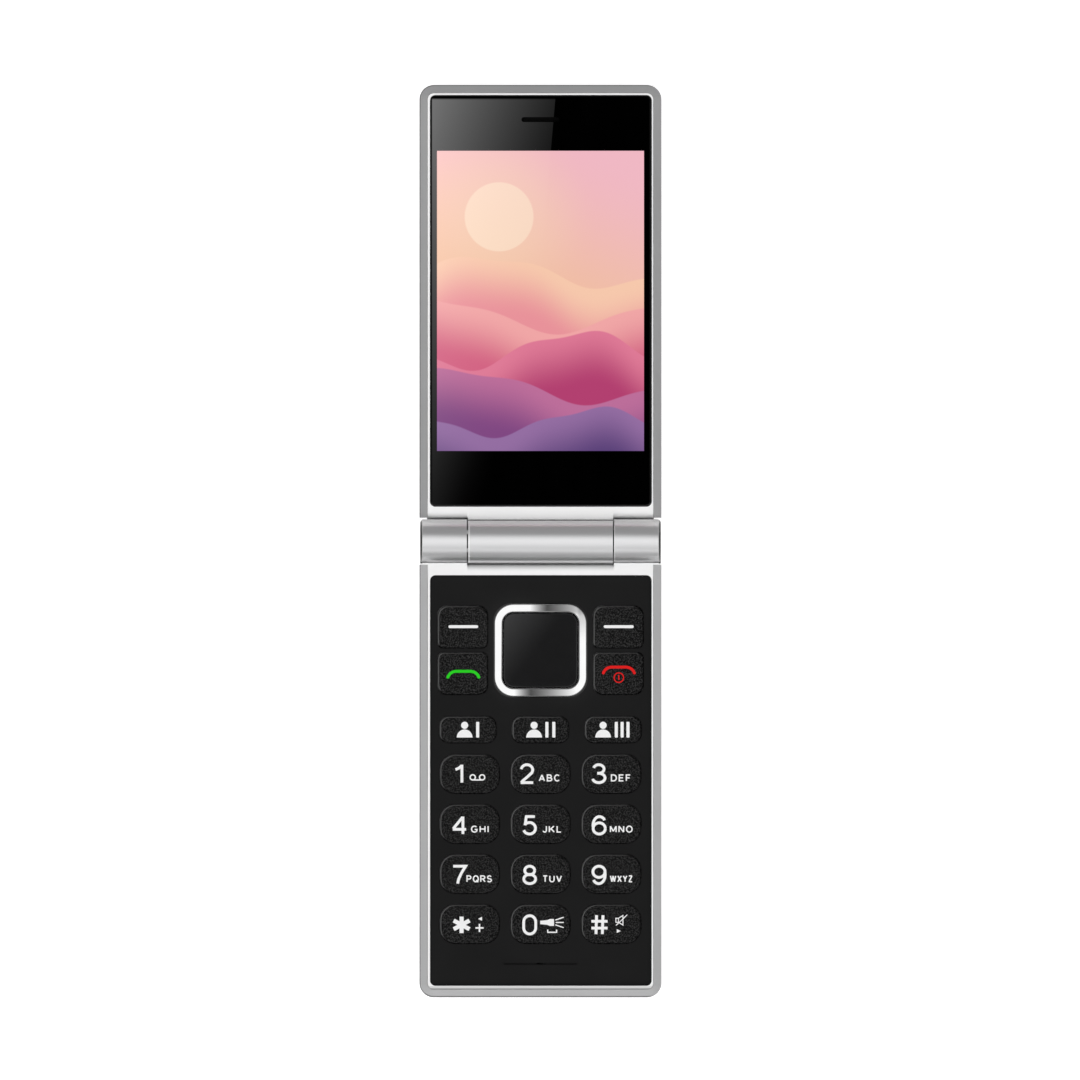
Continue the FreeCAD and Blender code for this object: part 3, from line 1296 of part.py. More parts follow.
port = new_body("charging_port")
pad(port, rectangle(port, dim.port_width, dim.port_height, dim.port_height * dim.slot_end, (0, port_z),
                    -port_mouth, "XZ"), dim.port_depth, True)
pocket(port, rectangle(port, dim.port_width - dim.port_wall * 2, dim.port_height - dim.port_wall * 2,
                       (dim.port_height - dim.port_wall * 2) * dim.slot_end, (0, port_z), -port_mouth, "XZ"),
       dim.port_depth - dim.port_wall * 3)
pad(port, rectangle(port, dim.tongue_width, dim.tongue_thick, None, (0, port_z),
                    dim.port_depth - port_mouth, "XZ"), dim.port_depth - dim.port_wall * 3)
keep(port)

base_screws = [screw("base_screw_%d" % number, spot, dim.head_floor, dim.base_screw_length - dim.fit_gap, True)
               for number, spot in enumerate(base_screw_spots, start=1)]
keep(group("base_screws", base_screws))
plugs = [rod("screw_plug_%d" % number, dim.screw_head_radius, dim.plug_thick, (spot[0], spot[1], 0))
         for number, spot in enumerate(base_screw_spots, start=1)]
keep(group("screw_plugs", plugs))

DOC.recompute()
for thing in DOC.Objects:
    if "Invalid" in thing.State or "Error" in thing.State:
        raise ValueError("%s is not built: %s" % (thing.Label, thing.State))

for before, after in CUTS:
    if after.Shape.Volume > before.Shape.Volume - 1e-6:
        raise ValueError("%s removes nothing" % after.Label)

os.makedirs("parts", exist_ok=True)
for thing in NODES:
    shape = thing.Shape
    if shape.isNull() or not shape.isValid() or shape.Volume <= 0:
        raise ValueError("%s has no sound shape" % thing.Label)
    shape.exportStep("parts/%s.step" % thing.Label)
    print(thing.Label, len(shape.Solids), round(shape.Volume, 2))
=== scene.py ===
"""Finishes, smooth pieces, key legends and studio of the flip phone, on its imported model."""
import json
import logging
import math
from dataclasses import dataclass, field
from enum import Enum
from typing import Any, Callable, Dict, List, Optional, Sequence, Tuple, Union

import bpy
import numpy as np
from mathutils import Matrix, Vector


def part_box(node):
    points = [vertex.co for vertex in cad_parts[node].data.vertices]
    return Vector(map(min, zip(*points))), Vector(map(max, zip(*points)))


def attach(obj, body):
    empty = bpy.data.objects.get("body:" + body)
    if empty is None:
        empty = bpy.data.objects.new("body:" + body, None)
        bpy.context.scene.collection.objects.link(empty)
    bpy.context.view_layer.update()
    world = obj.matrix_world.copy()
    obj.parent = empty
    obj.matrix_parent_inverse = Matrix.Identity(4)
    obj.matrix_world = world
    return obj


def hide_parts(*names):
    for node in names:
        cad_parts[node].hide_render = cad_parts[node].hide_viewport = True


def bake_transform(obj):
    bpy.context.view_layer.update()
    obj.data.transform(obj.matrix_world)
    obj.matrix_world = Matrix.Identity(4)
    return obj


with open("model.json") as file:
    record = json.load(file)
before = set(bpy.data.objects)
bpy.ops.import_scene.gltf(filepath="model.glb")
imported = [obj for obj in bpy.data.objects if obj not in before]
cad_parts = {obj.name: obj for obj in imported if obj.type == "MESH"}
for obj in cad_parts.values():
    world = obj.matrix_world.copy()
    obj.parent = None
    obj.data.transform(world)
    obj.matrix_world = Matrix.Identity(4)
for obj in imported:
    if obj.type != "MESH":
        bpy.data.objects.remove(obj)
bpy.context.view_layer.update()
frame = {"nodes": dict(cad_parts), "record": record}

LOG = logging.getLogger("flip_phone")
NODE_BODY = {node: body for body, nodes in frame["record"]["behaviour"]["bodies"].items()
             for node in nodes}

MM = 0.001
FULL_TURN = 2.0 * math.pi
HINGE_Z = 11.6
KNUCKLE_GAP = 16.3
LENS_CORNER = 1.1
EDGE_STRIP = 0.06
SCREEN_WHITE = 255.0
SCREEN_GAMMA = 2.2
MIRRORED_SHARE = 0.04
LACQUER_BLUE = 1.01
LEAST_RADIUS = 0.02
LEAST_STEP = 1e-4
LEAST_COSINE = 0.4
LEAST_UP = 0.1
WELD_DIGITS = 4

Colour = Tuple[float, float, float, float]
Point = Tuple[float, float]
Number = Union[float, "Signal"]
Sockets = Dict[str, Any]
Piece = bpy.types.Object


class Slot(Enum):
    """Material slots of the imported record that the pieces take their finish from."""

    SILVER = "silver_shell"
    WHITE = "white_frame"
    LENS = "display_lens"
    STEEL = "steel_sheet"
    BLACK = "black_plastic"
    BOARD = "circuit_board"
    WINDOW = "clear_window"
    HINGE = "hinge_steel"
    BRASS = "bushing_brass"
    CABLE = "flat_cable"
    KEY = "key_black"
    CHROME = "chrome"
    RUBBER = "rubber"
    DOME = "dome_film"
    BATTERY = "battery"


def shown(red: float, green: float, blue: float) -> Colour:
    """Linear colour of a colour given as it shows on a screen, by the sRGB curve.

    Args:
        red, green, blue: values from 0 to 255.

    Returns:
        Linear red, green, blue and an alpha of 1.
    """
    value = np.array([red, green, blue]) / SCREEN_WHITE
    linear = np.where(value <= 0.04045, value / 12.92, ((value + 0.055) / 1.055) ** 2.4)
    return (*linear.tolist(), 1.0)


def grey(level: float) -> Colour:
    """Linear grey of one level, with an alpha of 1."""
    return (level, level, level, 1.0)


def dimmed(colour: Colour, share: float) -> Colour:
    """The colour with each part at a share of its light, and at most 1."""
    return (*(min(part * share, 1.0) for part in colour[:3]), 1.0)


# Shader values and finishes


def maths(operation: str, swapped: bool = False) -> Callable[..., "Signal"]:
    """Method of Signal that adds one Math node.

    Args:
        operation: the node's operation.
        swapped: True puts the other value first.

    Returns:
        The method.
    """
    def method(self: "Signal", other: Number = 0.0) -> "Signal":
        """The node's result for this value and the other one."""
        pair = (other, self) if swapped else (self, other)
        return self.graph.add("ShaderNodeMath", {"operation": operation}, dict(enumerate(pair)))
    return method


class Signal:
    """One shader value, on which Python arithmetic adds Math nodes."""

    def __init__(self, graph: "Graph", socket: bpy.types.NodeSocket) -> None:
        """Keeps the graph that the socket belongs to."""
        self.graph = graph
        self.socket = socket

    __add__ = __radd__ = maths("ADD")
    __sub__ = maths("SUBTRACT")
    __rsub__ = maths("SUBTRACT", True)
    __mul__ = __rmul__ = maths("MULTIPLY")
    __truediv__ = maths("DIVIDE")
    __rtruediv__ = maths("DIVIDE", True)
    __pow__ = maths("POWER")
    __rpow__ = maths("POWER", True)
    __abs__ = maths("ABSOLUTE")
    sine = maths("SINE")
    least = maths("MINIMUM")
    most = maths("MAXIMUM")

    def also(self, output: str) -> "Signal":
        """Another output of the same node."""
        return Signal(self.graph, self.socket.node.outputs[output])

    def rise(self, low: Number, high: Number) -> "Signal":
        """Smooth step from 0 at low to 1 at high; a high below low makes it fall."""
        return self.graph.add("ShaderNodeMapRange", {"interpolation_type": "SMOOTHSTEP"},
                              {"Value": self, "From Min": low, "From Max": high})

    def under(self, limit: Number, soft: float) -> "Signal":
        """1 below a limit and 0 above it, softly; a soft below 0 turns it round."""
        return self.rise(limit + soft, limit - soft)

    def within(self, low: float, high: float, soft: float) -> "Signal":
        """1 between two limits and 0 outside them, softly."""
        return self.rise(low, low + soft) * self.rise(high, high - soft)

    def around(self, level: float, swing: float) -> "Signal":
        """Noise brought to a level, with a full swing about it."""
        return self * swing + (level - swing / 2.0)


class Graph:
    """Adds nodes to one material or world."""

    def __init__(self, tree: bpy.types.NodeTree) -> None:
        """Starts from an empty tree."""
        self.tree = tree
        tree.nodes.clear()

    def add(self, kind: str, settings: Optional[Sockets] = None,
            inputs: Optional[Dict[Union[int, str], Any]] = None, output: Union[int, str] = 0) -> Signal:
        """Adds one node of any type.

        Args:
            kind: the node's type.
            settings: the node's own settings, set first.
            inputs: values or signals for its sockets, by name or number.
            output: the output to return.

        Returns:
            That output as a signal.
        """
        node = self.tree.nodes.new(kind)
        for name, value in (settings or {}).items():
            setattr(node, name, value)
        for key, value in (inputs or {}).items():
            if isinstance(value, Signal):
                self.tree.links.new(value.socket, node.inputs[key])
            else:
                node.inputs[key].default_value = value
        return Signal(self, node.outputs[output] if len(node.outputs) else node.inputs[0])

    def spot(self) -> Signal:
        """Object coordinates, in metres on the phone."""
        return self.add("ShaderNodeTexCoord", output="Object")

    def place(self) -> Tuple[Signal, Signal, Signal]:
        """X, Y and Z on the phone in millimetres."""
        across = self.add("ShaderNodeSeparateXYZ", None, {0: self.spot()})
        return across / MM, across.also("Y") / MM, across.also("Z") / MM

    def radius(self, centre: Point) -> Signal:
        """Distance from an upright axis, in millimetres."""
        across, along, _ = self.place()
        return ((across - centre[0]) ** 2 + (along - centre[1]) ** 2) ** 0.5

    def noise(self, cell: float, detail: float = 2.0, stretch: Sequence[float] = (1, 1, 1),
              turn: float = 0.0) -> Signal:
        """Cloudy noise.

        Args:
            cell: size of its patches in millimetres.
            detail: octaves of finer noise.
            stretch: length of a patch along X, Y and Z in cells, for brushed grain.
            turn: angle in degrees that the grain is turned about Z.

        Returns:
            A value near 0.5.
        """
        spot = self.add("ShaderNodeMapping", {"vector_type": "TEXTURE"},
                        {"Vector": self.spot(), "Rotation": (0.0, 0.0, math.radians(turn)),
                         "Scale": tuple(stretch)})
        return self.add("ShaderNodeTexNoise", None,
                        {"Vector": spot, "Scale": 1.0 / (cell * MM), "Detail": detail})

    def cells(self, size: float, feature: str) -> Signal:
        """Distance to scattered cells' centres or borders, with cells of that size in millimetres."""
        return self.add("ShaderNodeTexVoronoi", {"feature": feature},
                        {"Vector": self.spot(), "Scale": 1.0 / (size * MM)})

    def blend(self, factor: Number, first: Union[Colour, Signal], second: Union[Colour, Signal]) -> Signal:
        """Colour between two colours."""
        return self.add("ShaderNodeMix", {"data_type": "RGBA"}, {0: factor, 6: first, 7: second}, 2)

    def lacquer(self, shade: Signal) -> Signal:
        """Grey of that shade with a trace more blue."""
        return self.add("ShaderNodeCombineColor", None, {0: shade, 1: shade, 2: shade * LACQUER_BLUE})

    def bump(self, height: Signal, depth: float) -> Signal:
        """Normal of a relief whose full height is depth millimetres."""
        return self.add("ShaderNodeBump", None, {"Strength": 1.0, "Distance": depth * MM, "Height": height})


def beside(across: Signal, along: Signal, half: Point, corner: float) -> Signal:
    """Distance outside a rectangle with round corners; inside it is below 0.

    With q the distance past the corner's centre in each direction, it is
    length(max(q, 0)) + min(max(q.x, q.y), 0) - corner.

    Args:
        across, along: X and Y from the rectangle's middle, in millimetres.
        half: half its width and half its height.
        corner: radius of its corners.

    Returns:
        The distance in millimetres.
    """
    right = abs(across) - (half[0] - corner)
    above = abs(along) - (half[1] - corner)
    out = (right.most(0.0) ** 2 + above.most(0.0) ** 2) ** 0.5
    return out + right.most(above).least(0.0) - corner


def material_of(name: str, surface: Callable[[Graph], Signal]) -> bpy.types.Material:
    """Material of a name, made once.

    Args:
        name: the material's name.
        surface: function that adds its nodes and gives its shader.

    Returns:
        The material.
    """
    made = bpy.data.materials.get(name)
    if made is None:
        made = bpy.data.materials.new(name)
        made.use_nodes = True
        graph = Graph(made.node_tree)
        graph.add("ShaderNodeOutputMaterial", None, {"Surface": surface(graph)})
    return made


@dataclass(frozen=True)
class Finish:
    """A named surface finish; each kind says what feeds its Principled shader."""

    name: str

    def paint(self, graph: Graph) -> Sockets:
        """Values and signals for the Principled shader's sockets."""
        raise NotImplementedError

    def shader(self, graph: Graph) -> Signal:
        """The Principled shader with what feeds it."""
        return graph.add("ShaderNodeBsdfPrincipled", None, self.paint(graph))

    def material(self) -> bpy.types.Material:
        """The finish as a material, made once."""
        return material_of(self.name, self.shader)


@dataclass(frozen=True)
class MouldedPlastic(Finish):
    """Moulded plastic or rubber: fine eroded grain, faint clouds in tone and gloss."""

    colour: Colour = grey(0.02)
    roughness: float = 0.4
    grain: float = 0.12
    depth: float = 0.004
    specular: float = 0.5
    cloud: float = 0.12
    cloud_cell: float = 9.0
    octaves: float = 3.0
    swing: float = 0.12

    def paint(self, graph: Graph) -> Sockets:
        """Grain bump, with tone and roughness clouded.

        Args:
            graph: the material's graph.

        Returns:
            What feeds the shader's sockets.
        """
        grain = graph.noise(self.grain, self.octaves)
        low, high = (dimmed(self.colour, 1.0 + way * self.cloud) for way in (-1, 1))
        return {"Base Color": graph.blend(graph.noise(self.cloud_cell), low, high),
                "Roughness": grain.around(self.roughness, self.swing),
                "Specular IOR Level": self.specular,
                "Normal": graph.bump(grain, self.depth)}


@dataclass(frozen=True)
class SilverPaint(Finish):
    """Silver lacquer: grey with metal flake, and a painted shade line along the flank's foot.

    The painted shade stands in for the flank's dark edge. It is wider at the keypad's end, and fades out
    towards the right over its stop in X, where the light falls.
    """

    tone: float = 0.45
    metal: float = 0.3
    roughness: float = 0.34
    flake: float = 0.05
    flake_swing: float = 0.12
    gloss_swing: float = 0.1
    depth: float = 0.0012
    cloud_cell: float = 14.0
    cloud_swing: float = 0.05
    # Painted shade: the dark line at the flank's foot, set by this field and the six below it.
    line: float = 9.78
    shade_line_half: float = 0.13
    shade_line_soft: float = 0.04
    shade_line_dark: float = 0.62
    shade_line_stop: Point = (25.6, 23.6)
    end: Point = (-100.6, -100.9)
    shade_line_end_extra: float = 0.1
    octaves: float = 1.0

    def paint(self, graph: Graph) -> Sockets:
        """Flake in tone and gloss, darker on the painted shade line.

        Args:
            graph: the material's graph.

        Returns:
            What feeds the shader's sockets.
        """
        across, along, up = graph.place()
        half = along.rise(*self.end) * self.shade_line_end_extra + self.shade_line_half
        # Painted shade line at the flank's foot, faded out to the right where the light falls.
        line = abs(up - self.line).under(half, self.shade_line_soft) * across.rise(*self.shade_line_stop)
        flake = graph.noise(self.flake, self.octaves)
        cloud = graph.noise(self.cloud_cell).around(0.0, self.cloud_swing)
        shade = (flake.around(self.tone, self.flake_swing) + cloud) * (1.0 - line * self.shade_line_dark)
        return {"Base Color": graph.lacquer(shade),
                "Metallic": self.metal,
                "Roughness": flake.around(self.roughness, self.gloss_swing),
                "Normal": graph.bump(flake, self.depth)}


@dataclass(frozen=True)
class FramePaint(Finish):
    """White front frame whose hinge knuckles are silver lacquer, with dark seams, painted shade and painted
    highlights.

    The lacquer starts where the distance from the hinge axis is the barrel's radius. The lip's
    inner edge has painted shade, standing in for the shadow of the gap, as far as reach from the
    insert, which has that half size and middle. The half of the phone that the frame belongs to
    lies towards Y times side.
    """

    half: Point = (1.0, 1.0)
    middle: Point = (0.0, 0.0)
    # How far the painted shade at the lip's inner edge reaches, and (aside) how far its middle moves in X.
    reach: float = 0.17
    side: float = 1.0
    aside: float = 0.09
    barrel: float = 4.97
    # Dark seams: the joint between the knuckles, and painted shade at the knuckles' outer ends (from end)
    # and at their root (foot, below).
    end: float = 26.36
    joint_and_shade_half: float = 0.14
    joint_and_shade_tone: float = 0.03
    # Painted highlights: glint lines beside the seams, and a band along the barrel's upper edge standing in
    # for its reflection of the white frame.
    painted_glint: float = 16.19
    painted_glint_half: float = 0.12
    painted_glint_shift: float = 0.26
    painted_glint_share: float = 0.6
    polished: Point = (3.2, 4.0)
    highlight_plastic: float = 0.92
    foot: float = 4.7
    trim: float = -99.7
    trim_start: Point = (-99.2, -99.35)
    # Painted shadow on the frame beside the other half's knuckles.
    knuckle_shadow_start: float = 5.2
    knuckle_shadow_width: float = 1.7
    knuckle_shadow_share: float = 0.35
    knuckle_shadow_tone: float = 0.25
    white: float = 0.93
    mottle: float = 0.015
    # Tone of the painted shade at the lip's inner edge.
    inner: float = 0.02
    dull: float = 0.7
    rim: float = 0.42
    silver: float = 0.735
    metal: float = 0.85
    roughness: float = 0.46
    smoother: float = 0.14
    flake: float = 0.05
    flake_swing: float = 0.08
    depth: float = 0.001
    specular: float = 0.3
    cloud_cell: float = 12.0
    octaves: float = 1.0
    end_soft: float = 0.05

    def plastic(self, graph: Graph, across: Signal, along: Signal) -> Signal:
        """White with painted shade at its inner edge, duller at the keypad's end, and a painted shadow
        beside the knuckles.

        Args:
            graph: the material's graph.
            across, along: X and Y in millimetres.

        Returns:
            The plastic's colour.
        """
        lip = beside(across - (self.middle[0] + self.aside), along - self.middle[1], self.half, LENS_CORNER)
        towards = along.rise(-1.0, 1.0) * 2.0 - 1.0
        # Painted shadow on the frame beside the other half's knuckles, darkest next to the barrel.
        facing = ((abs(across) - KNUCKLE_GAP) * towards).under(0.0, soft=-0.05)
        corner = (abs(along) - self.knuckle_shadow_start).rise(self.knuckle_shadow_width, 0.0) * facing
        low, high = (grey(self.white + way * self.mottle) for way in (-1, 1))
        plain = graph.blend(graph.noise(self.cloud_cell), low, high)
        plain = graph.blend(along.rise(*self.trim_start), plain, grey(self.dull))
        plain = graph.blend(along.under(self.trim, soft=0.04), plain, grey(self.rim))
        plain = graph.blend(corner * self.knuckle_shadow_share, plain, grey(self.knuckle_shadow_tone))
        # Painted shade along the lip's inner edge, standing in for the shadow of the gap to the insert.
        return graph.blend(lip.under(self.reach, soft=0.03), plain, grey(self.inner))

    def paint(self, graph: Graph) -> Sockets:
        """White plastic blended into flake lacquer at the barrel, with painted highlights on it, and dark
        seams: the joint between knuckles, and painted shade at their root and ends.

        Args:
            graph: the material's graph.

        Returns:
            What feeds the shader's sockets.
        """
        across, along, up = graph.place()
        knuckle = ((along ** 2 + (up - HINGE_Z) ** 2) ** 0.5).under(self.barrel, soft=0.03)
        gap = abs(abs(across) - KNUCKLE_GAP).under(self.joint_and_shade_half, soft=0.02)
        # Painted shade: a dark line where the knuckle rises from its own frame, and at the knuckles' outer
        # ends.
        root_shade = abs(along * self.side - self.foot).under(self.joint_and_shade_half, soft=0.03)
        joint_and_shade = gap.most(root_shade).most(abs(across).rise(self.end, self.end + self.end_soft))
        # Painted highlights: glint lines beside the seams and a white band at the barrel's upper edge.
        edge = abs(abs(across - self.painted_glint_shift) - self.painted_glint).under(self.painted_glint_half, soft=0.05)
        painted_highlight = along.rise(*self.polished).most(edge * self.painted_glint_share)
        flake = graph.noise(self.flake, self.octaves)
        lacquer = graph.lacquer(flake.around(self.silver, self.flake_swing))
        lacquer = graph.blend(painted_highlight, lacquer, grey(1.0))
        lacquer = graph.blend(joint_and_shade, lacquer, grey(self.joint_and_shade_tone))
        bare = (1.0 - joint_and_shade) * (1.0 - painted_highlight * self.highlight_plastic)
        return {"Base Color": graph.blend(knuckle, self.plastic(graph, across, along), lacquer),
                "Metallic": knuckle * bare * self.metal,
                "Roughness": flake.around(self.roughness, self.flake_swing) - knuckle * self.smoother,
                "Specular IOR Level": self.specular,
                "Normal": graph.bump(flake, self.depth)}


@dataclass(frozen=True)
class Dune:
    """One layer of the display picture: its crest line and its two colours."""

    level: float
    swing: float
    waves: float
    phase: float
    crest: Colour
    foot: Colour


@dataclass(frozen=True)
class DunePicture(Finish):
    """Lit display with a generic picture: a warm sky with a low sun over rolling dunes.

    The picture lies between the corners low and high, and its sun at a share of them.
    """

    low: Point = (-1.0, -1.0)
    high: Point = (1.0, 1.0)
    surface: float = 9.85
    glow: float = 1.0
    sun: Point = (0.3, 0.78)
    sun_size: float = 0.115
    sun_share: float = 0.6
    halo: Point = (0.34, 0.08)
    halo_share: float = 0.4
    sky_fade: Point = (0.6, 1.25)
    sky_lean: float = 0.3
    ripple_waves: float = 2.7
    ripple_phase: float = 2.0
    ripple_swing: float = 0.22
    crest_lift: float = 0.02
    crest_depth: float = 0.2
    crest_soft: float = 0.006
    edge_soft: float = 0.0002
    aspect: float = 0.48
    dunes: Tuple[Dune, ...] = (
        Dune(0.60, 0.050, 5.2, 0.4, shown(246, 200, 172), shown(232, 146, 154)),
        Dune(0.47, 0.065, 4.1, 2.3, shown(240, 166, 166), shown(210, 98, 130)),
        Dune(0.34, 0.060, 5.6, 4.0, shown(222, 122, 150), shown(178, 64, 112)),
        Dune(0.22, 0.055, 4.6, 1.2, shown(188, 110, 154), shown(128, 72, 130)),
        Dune(0.10, 0.045, 6.2, 3.1, shown(148, 110, 162), shown(86, 62, 118)),
    )
    sky_low: Colour = shown(240, 190, 160)
    sky_high: Colour = shown(240, 184, 196)
    halo_colour: Colour = shown(248, 216, 186)
    sun_colour: Colour = shown(252, 228, 204)
    lit_depth: Point = (0.2, 0.05)
    panel: float = 0.002
    panel_cell: float = 0.2
    roughness: float = 0.37
    swing: float = 0.04

    def light(self, graph: Graph) -> Sockets:
        """Sky, sun and dunes from back to front, dark outside the lit area.

        Dune k covers what lies under its crest v = level + swing sin(waves u + phase), with a
        smaller ripple on it, and its colour runs from crest to foot with the depth below.

        Args:
            graph: the material's graph.

        Returns:
            The picture as what the shader sends out.
        """
        across, along, up = graph.place()
        u = (across - self.low[0]) / (self.high[0] - self.low[0])
        v = (along - self.low[1]) / (self.high[1] - self.low[1])
        height = (v + u * self.sky_lean).rise(*self.sky_fade)
        sky = graph.blend(height, self.sky_low, self.sky_high)
        ray = ((u - self.sun[0]) ** 2 * self.aspect + (v - self.sun[1]) ** 2) ** 0.5
        picture = graph.blend(ray.rise(*self.halo) * self.halo_share, sky, self.halo_colour)
        disc = ray.under(self.sun_size, soft=0.003) * self.sun_share
        picture = graph.blend(disc, picture, self.sun_colour)
        for dune in self.dunes:
            wave = (u * dune.waves + dune.phase).sine()
            ripple = (u * (dune.waves * self.ripple_waves) + dune.phase * self.ripple_phase).sine()
            depth = (wave + ripple * self.ripple_swing) * dune.swing + dune.level - v
            tone = (depth + wave * self.crest_lift).rise(0.0, self.crest_depth)
            shade = graph.blend(tone, dune.crest, dune.foot)
            picture = graph.blend(depth.rise(0.0, self.crest_soft), picture, shade)
        lit = u.within(0.0, 1.0, self.edge_soft) * v.within(0.0, 1.0, self.edge_soft)
        lit = lit * up.rise(*(self.surface - depth for depth in self.lit_depth))
        return {"Emission Color": graph.blend(lit, grey(0.0), picture), "Emission Strength": self.glow}

    def paint(self, graph: Graph) -> Sockets:
        """Dark panel that sends out the picture.

        Args:
            graph: the material's graph.

        Returns:
            What feeds the shader's sockets.
        """
        grain = graph.noise(self.panel_cell, detail=0.0)
        return {"Base Color": grey(self.panel), "Roughness": grain.around(self.roughness, self.swing),
                "Specular IOR Level": 0.0, **self.light(graph)}


@dataclass(frozen=True)
class BondedLens(DunePicture):
    """Glossy lens bonded to the display: black ink, and the display's picture at its front face."""

    surface: float = 11.2
    wipe: float = 6.0
    wipe_octaves: float = 3.0
    wipe_stretch: Tuple[float, float, float] = (1.0, 3.0, 1.0)
    haze: float = 0.0006
    smear: float = 0.02

    def paint(self, graph: Graph) -> Sockets:
        """Gloss with a trace of wipe marks over ink and picture.

        Args:
            graph: the material's graph.

        Returns:
            What feeds the shader's sockets.
        """
        wipes = graph.noise(self.wipe, self.wipe_octaves, self.wipe_stretch)
        return {"Base Color": graph.blend(wipes, grey(0.0), grey(self.haze)),
                "Roughness": wipes * self.smear,
                **self.light(graph)}


@dataclass(frozen=True)
class LeatherKey(Finish):
    """Black key with a moulded leather grain on its top and a painted highlight on its upper-left edge."""

    dark: float = 0.002
    pale: float = 0.037
    # Tone of the painted highlight on the key's edge.
    painted_highlight: float = 0.13
    cell: float = 0.22
    slant: float = -40.0
    stretch: Tuple[float, float, float] = (1.0, 1.7, 1.0)
    crest: Point = (0.38, 0.72)
    edge_highlight: Point = (0.12, 0.5)
    depth: float = 0.1
    roughness: float = 0.42
    swing: float = 0.2
    specular: float = 0.15

    def paint(self, graph: Graph) -> Sockets:
        """Short slanting creases between pale crests; the edge has a painted highlight where the mesh is
        marked.

        Args:
            graph: the material's graph.

        Returns:
            What feeds the shader's sockets.
        """
        crease = graph.noise(self.cell, detail=0.0, stretch=self.stretch, turn=self.slant)
        tone = graph.blend(crease.rise(*self.crest), grey(self.dark), grey(self.pale))
        # Painted highlight: edges marked as facing the upper left turn pale.
        mark = graph.add("ShaderNodeAttribute", {"attribute_name": "edge_highlight"}, output="Fac")
        return {"Base Color": graph.blend(mark.rise(*self.edge_highlight), tone, grey(self.painted_highlight)),
                "Roughness": crease.around(self.roughness, self.swing),
                "Specular IOR Level": self.specular,
                "Normal": graph.bump(crease, self.depth)}


@dataclass(frozen=True)
class PolishedMetal(Finish):
    """Bright or brushed metal, black below the foot's level, and painted black as shade where the knuckles
    part at X = gap.
    """

    colour: Colour = grey(0.9)
    roughness: float = 0.06
    grain: float = 4.0
    stretch: Tuple[float, float, float] = (1.0, 1.0, 1.0)
    depth: float = 0.0
    foot: Optional[float] = None
    gap: Optional[float] = None
    gap_shade: Point = (0.35, 0.5)
    black: float = 0.004
    dim: float = 0.94
    swing: float = 0.08
    octaves: float = 3.0

    def paint(self, graph: Graph) -> Sockets:
        """Faint smears in gloss, brushed lines where the grain is stretched.

        Args:
            graph: the material's graph.

        Returns:
            What feeds the shader's sockets.
        """
        grain = graph.noise(self.grain, self.octaves, self.stretch)
        colour = graph.blend(grain, dimmed(self.colour, self.dim), self.colour)
        across, _, up = graph.place()
        bare: Number = 1.0
        if self.foot is not None:
            bare = up.under(self.foot, soft=-0.05)
        # Painted shade: black where the knuckles part, so the gap between them reads dark.
        if self.gap is not None:
            bare = abs(abs(across) - self.gap).rise(*self.gap_shade)
        sockets: Sockets = {"Base Color": graph.blend(bare, grey(self.black), colour), "Metallic": bare,
                            "Roughness": grain.around(self.roughness, self.swing)}
        if self.depth:
            sockets["Normal"] = graph.bump(grain, self.depth)
        return sockets


@dataclass(frozen=True)
class MottledCoat(Finish):
    """Ink or polished plastic whose tone and gloss vary a little in soft patches."""

    colour: Colour = grey(0.9)
    dim: float = 0.93
    cell: float = 0.3
    detail: float = 2.0
    roughness: float = 0.45
    swing: float = 0.1
    specular: float = 0.1

    def paint(self, graph: Graph) -> Sockets:
        """Patches of dimmer tone and other gloss.

        Args:
            graph: the material's graph.

        Returns:
            What feeds the shader's sockets.
        """
        patch = graph.noise(self.cell, self.detail)
        return {"Base Color": graph.blend(patch, dimmed(self.colour, self.dim), self.colour),
                "Roughness": patch.around(self.roughness, self.swing),
                "Specular IOR Level": self.specular}


@dataclass(frozen=True)
class WovenMesh(Finish):
    """Dark woven wire, drawn as crossing threads."""

    pitch: float = 0.22
    thread: Point = (0.7, 0.95)
    gap_tone: float = 0.0003
    thread_tone: float = 0.0015
    roughness: float = 0.7
    smoother: float = 0.2
    depth: float = 0.05
    specular: float = 0.1

    def paint(self, graph: Graph) -> Sockets:
        """Threads from the sines of X and Y.

        Args:
            graph: the material's graph.

        Returns:
            What feeds the shader's sockets.
        """
        across, along, _ = (abs((way * (FULL_TURN / self.pitch)).sine()) for way in graph.place())
        weave = across.most(along)
        tone = graph.blend(weave.rise(*self.thread), grey(self.gap_tone), grey(self.thread_tone))
        return {"Base Color": tone,
                "Roughness": self.roughness - weave * self.smoother,
                "Specular IOR Level": self.specular,
                "Normal": graph.bump(weave, self.depth)}


@dataclass(frozen=True)
class CircuitBoard(Finish):
    """Green solder mask with copper tracks below it and gold pads."""

    cell: float = 3.4
    track: Point = (0.06, 0.03)
    pad: Point = (0.12, 0.1)
    depth: float = 0.02
    bare_mask: Colour = shown(16, 70, 44)
    track_mask: Colour = shown(40, 104, 62)
    gold: Colour = shown(212, 170, 92)
    metal: float = 0.9
    roughness: float = 0.45
    smoother: float = 0.15

    def paint(self, graph: Graph) -> Sockets:
        """Tracks along cell borders, pads at cell centres.

        Args:
            graph: the material's graph.

        Returns:
            What feeds the shader's sockets.
        """
        track = graph.cells(self.cell, "DISTANCE_TO_EDGE").rise(*self.track)
        pad = graph.cells(self.cell, "F1").rise(*self.pad)
        mask = graph.blend(track, self.bare_mask, self.track_mask)
        return {"Base Color": graph.blend(pad, mask, self.gold),
                "Metallic": pad * self.metal,
                "Roughness": self.roughness - pad * self.smoother,
                "Normal": graph.bump(track.most(pad), self.depth)}


